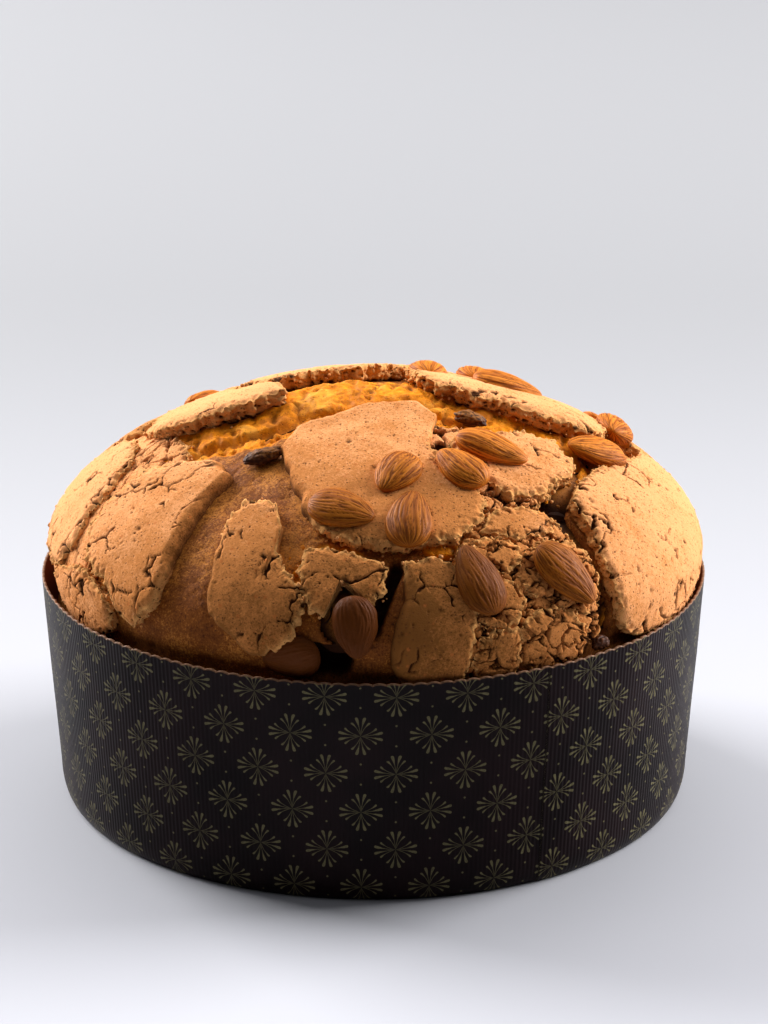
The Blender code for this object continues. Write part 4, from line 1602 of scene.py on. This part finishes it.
@dataclass
class PaperCase:
    """The baking case: ribbed paper wall with a pinked rim and a rounded foot."""

    rim_radius: float
    height: float
    foot_radius: float = 100.5
    foot_height: float = 9.0
    floor_radius: float = 97.5
    paper: float = 0.8
    rib_pitch: float = 1.5
    rib_depth: float = 0.045
    pink_pitch: float = 4.0
    pink_depth: float = 0.55
    columns_per_rib: int = 4
    seam_azimuth: float = 30.0
    warp_radius: float = 100.0

    def profile(self) -> tuple[np.ndarray, np.ndarray]:
        """Outer radius and height from the rim down to the edge of the floor."""
        height = np.concatenate(([self.height, self.height - 0.5],
                                 np.linspace(self.height - 3, self.foot_height, 12),
                                 self.foot_height * (1 - np.sin(
                                     np.linspace(0, math.pi / 2, 7)[1:]))))
        share = (height - self.foot_height) / (self.height - self.foot_height)
        wall = self.foot_radius + share * (self.rim_radius - self.foot_radius)
        bend = np.sqrt(np.clip(1 - (1 - height / self.foot_height) ** 2, 0, 1))
        foot = self.floor_radius + (self.foot_radius - self.floor_radius) * bend
        return np.where(height >= self.foot_height, wall, foot), height

    def build(self, finish: bpy.types.Material) -> bpy.types.Object:
        """The case: ribbed outer wall, cut edge, inner wall and floor, closed all round.

        Args:
            finish: its material.

        Returns:
            The object.
        """
        grain = Grain(Seed.CASE)
        ribs = round(TURN * self.rim_radius / self.rib_pitch)
        columns = ribs * self.columns_per_rib
        radius, height = self.profile()
        level, side = grid(np.arange(len(height)), headings(columns))
        level = level.astype(int)
        up, out = height[level], radius[level]
        share = up / self.height
        rib = np.cos(side * ribs) * self.rib_depth * ease(share, 0.01, 0.1)
        around = np.column_stack((turned(self.warp_radius, side), up))
        warp = 0.55 * grain.fractal(around, 38.0, 2) * ease(share, 0.1, 0.9)
        seam = math.radians(self.seam_azimuth)
        past = turn_from(side, self.seam_azimuth) * self.rim_radius
        overlap = 0.35 * ease(past, -0.4, 0.1) * (1 - ease(past, 6.0, 26.0))
        out = out + rib + warp + overlap - 0.35
        pinks = round(TURN * self.rim_radius / self.pink_pitch)
        bite = self.pink_depth * np.abs(np.sin(side * pinks / 2)) ** 0.7
        up_cut = up - (self.pink_depth - bite) * ease(share, 0.955, 1.0)
        along = np.mod(side - seam, TURN) * self.rim_radius
        outer = np.column_stack((turned(out, side), up_cut))
        inner_out = out - self.paper - rib * 0.4
        inner_up = up_cut + self.paper * ease(1 - share, 0.8, 1.0)
        inner = np.column_stack((turned(inner_out, side), inner_up))
        rows = len(height)
        points = np.vstack((outer, inner, [[0, 0, 0], [0, 0, self.paper]]))
        outer_quads = sheet_quads(rows, columns, True)[:, ::-1]
        inner_quads = sheet_quads(rows, columns, True) + len(outer)
        rim = np.arange(columns)
        rim_inner = rim + len(outer)
        lip = np.column_stack((rim, np.roll(rim, -1), np.roll(rim_inner, -1), rim_inner))
        foot = rim + (rows - 1) * columns
        floor = fan(foot, len(points) - 2)[:, SWAPPED]
        floor_inner = fan(foot + len(outer), len(points) - 1)
        edge = (share > 0.999).astype(float)
        values = {
            "along": np.concatenate((along, along, [0, 0])),
            "up": np.concatenate((up, up, [0, 0])),
            "inner": np.concatenate((np.zeros(len(outer)), np.ones(len(inner)), [0, 1])),
            "edge": np.concatenate((edge, edge, [0, 0])),
        }
        return Shell(points, np.vstack((outer_quads, inner_quads, lip)),
                     np.vstack((floor, floor_inner)), values).build("case_wall", finish)


# ---------------------------------------------------------------- studio


@dataclass(frozen=True)
class Softbox:
    """A rectangular soft light: its middle and size in metres, and its power."""

    name: str
    place: tuple[float, float, float]
    size: tuple[float, float]
    watts: float


@dataclass
class Studio:
    """Pale floor, two tall soft lights at the sides and a camera a little above."""

    target: tuple[float, float, float] = (0.0033, 0.0, 0.0889)
    distance: float = 1.2
    elevation: float = 19.0
    lens: float = 133.7
    floor_half: float = 6.0
    floor_front: Colour = (0.45, 0.45, 0.485)
    floor_back: Colour = (0.235, 0.235, 0.245)
    floor_lines: int = 9
    floor_drop: float = 0.05
    lit_height: float = 0.09
    room_tint: tuple[float, ...] = (0.93, 0.95, 1.0, 1)
    softboxes: tuple[Softbox, ...] = (
        Softbox("softbox_left", (-1.75, 1.45, 1.15), (1.4, 1.8), 144.0),
        Softbox("softbox_right", (2.0, 0.80, 1.05), (1.4, 1.8), 124.0),
        Softbox("softbox_top", (0.0, 1.30, 2.3), (2.8, 2.2), 37.0),
    )

    def floor(self) -> None:
        """Pale matt floor, a little deeper in tone towards the lights at the back."""
        tree = Tree("studio_floor")
        split = tree.node("ShaderNodeSeparateXYZ", {}, {0: tree.place()})
        back = Value(tree, split.outputs["Y"]).step(-0.20, 0.60)
        colour = tree.mix(back, self.floor_front, self.floor_back)
        finish = tree.finish(colour, 0.7, Specular_IOR_Level=0.2)
        half = self.floor_half / MM
        count = self.floor_lines
        line = np.linspace(-half, half, count)
        y, x = grid(line, line)
        points = np.column_stack((x, y, np.full(len(x), -self.floor_drop)))
        floor = Shell(points, sheet_quads(count, count, False), NO_TRIANGLES).build(
            "studio_floor", finish)

    def light(self, box: Softbox) -> None:
        """Place one soft light so that it faces the cake."""
        lamp = bpy.data.lights.new(box.name, "AREA")
        lamp.shape = "RECTANGLE"
        lamp.size, lamp.size_y = box.size
        lamp.energy = box.watts
        holder = bpy.data.objects.new(box.name, lamp)
        holder.location = box.place
        way = Vector((0, 0, self.lit_height)) - Vector(box.place)
        holder.rotation_euler = way.to_track_quat("-Z", "Y").to_euler()
        bpy.context.scene.collection.objects.link(holder)

    def world(self) -> None:
        """Room light: bright behind the cake, dim on the camera's side."""
        room = bpy.data.worlds.new("studio_room")
        bpy.context.scene.world = room
        room.use_nodes = True
        nodes, links = room.node_tree.nodes, room.node_tree.links
        back = nodes["Background"]
        split = nodes.new("ShaderNodeSeparateXYZ")
        links.new(nodes.new("ShaderNodeTexCoord").outputs["Generated"], split.inputs[0])
        height = nodes.new("ShaderNodeMath")
        height.operation = "MULTIPLY_ADD"
        links.new(split.outputs["Z"], height.inputs[0])
        height.inputs[1].default_value = 0.8
        links.new(split.outputs["Y"], height.inputs[2])
        ramp = nodes.new("ShaderNodeMapRange")
        limits = {"From Min": -0.4, "From Max": 1.1, "To Min": 0.01, "To Max": 0.45}
        for name, value in limits.items():
            ramp.inputs[name].default_value = value
        links.new(height.outputs[0], ramp.inputs["Value"])
        links.new(ramp.outputs["Result"], back.inputs["Strength"])
        back.inputs["Color"].default_value = self.room_tint

    def camera(self) -> None:
        """Camera at the set elevation, looking at the target."""
        lens = bpy.data.cameras.new("camera")
        lens.lens = self.lens
        holder = bpy.data.objects.new("camera", lens)
        rise = math.radians(self.elevation)
        away = Vector((0, -math.cos(rise), math.sin(rise))) * self.distance
        holder.location = Vector(self.target) + away
        holder.rotation_euler = (-away).to_track_quat("-Z", "Y").to_euler()
        bpy.context.scene.collection.objects.link(holder)
        bpy.context.scene.camera = holder

    def build(self) -> None:
        """Set up camera, floor, lights and room."""
        self.camera()
        self.floor()
        for box in self.softboxes:
            self.light(box)
        self.world()
        bpy.context.scene.view_settings.view_transform = "Standard"


# ---------------------------------------------------------------- assembly


class Slot(Enum):
    """Names of the material slots."""

    PAPER = "case_paper"
    CRUST = "crust"
    GLAZE = "glaze"
    ALMOND = "almond"
    RAISIN = "raisin"


def settle(piece: bpy.types.Object, slot: Slot, *nodes: str) -> None:
    """Ride a piece on the one body and hide the nodes that it stands for."""
    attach(piece, "root")
    if nodes:
        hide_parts(*nodes)
    LOG.info("%s: %d faces", piece.name, len(piece.data.polygons))


def main() -> None:
    """Build the whole dressed cake around the frame."""
    logging.basicConfig(level=logging.INFO, format="%(name)s: %(message)s")
    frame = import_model()
    nodes = frame["nodes"]
    Studio().build()
    glaze, crust = GlazeFinish().material(), CrustFinish().material()
    almond_skin, raisin_skin = AlmondFinish().material(), RaisinFinish().material()
    paper = PaperFinish().material()

    low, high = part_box("paper_case")
    case = PaperCase(rim_radius=(high.x - low.x) / 2 / MM, height=high.z / MM)
    settle(case.build(paper), Slot.PAPER, "paper_case")

    dome, crumbs = Dome(), Crumbs()
    settle(Cake(dome).build(crust), Slot.CRUST, "cake")
    for number, name in enumerate(sorted(nodes)):
        if name.startswith("glaze"):
            plate = GlazePlate(name + "_top", dome, Seed.PLATE + number,
                               look=PLATE_LOOKS.get(name, PlateLook()))
            plate.read_node(nodes[name])
            settle(plate.build(glaze), Slot.GLAZE, name)
            crumbs.gather(plate)
        elif name.startswith("almond"):
            almond = Almond(name, Seed.ALMOND + number)
            almond.read_node(nodes[name])
            plan, _ = dome.laid_flat(almond.middle[None])
            # Painted shade: almonds low on the front side are darker, those in the pit and
            # at the front more, and the deepest one most.
            deep = name.startswith(("almond_pit", "almond_front"))
            almond.toast_and_shade = 0.9 * float(dome.bake(plan)[0]) + 0.2 * deep
            if name == "almond_pit_deep":
                almond.toast_and_shade += 0.45
            settle(almond.build(almond_skin), Slot.ALMOND, name)
        elif name.startswith("raisin"):
            raisin = Raisin(name, Seed.RAISIN + number, GLAZED_RAISINS.get(name, 0.0))
            settle(raisin.build(nodes[name], raisin_skin), Slot.RAISIN, name)
    for number, (name, (corners, top, look)) in enumerate(GLAZE_BEDS.items()):
        bed = GlazePlate(name, dome, Seed.BED + number, look=look)
        bed.lay_out(corners, top)
        settle(bed.build(glaze), Slot.GLAZE)
        crumbs.gather(bed)
    settle(crumbs.build(glaze), Slot.GLAZE)
    for number, (name, middle, half, heading, swell, shade) in enumerate(CRUMB_FIELDS):
        crumb = TornCrumb(name, dome, Seed.FIELD + number, middle=middle, half=half,
                          heading=heading, swell=swell, shade=shade)
        settle(crumb.build(crust), Slot.CRUST)


if __name__ == "__main__":
    main()
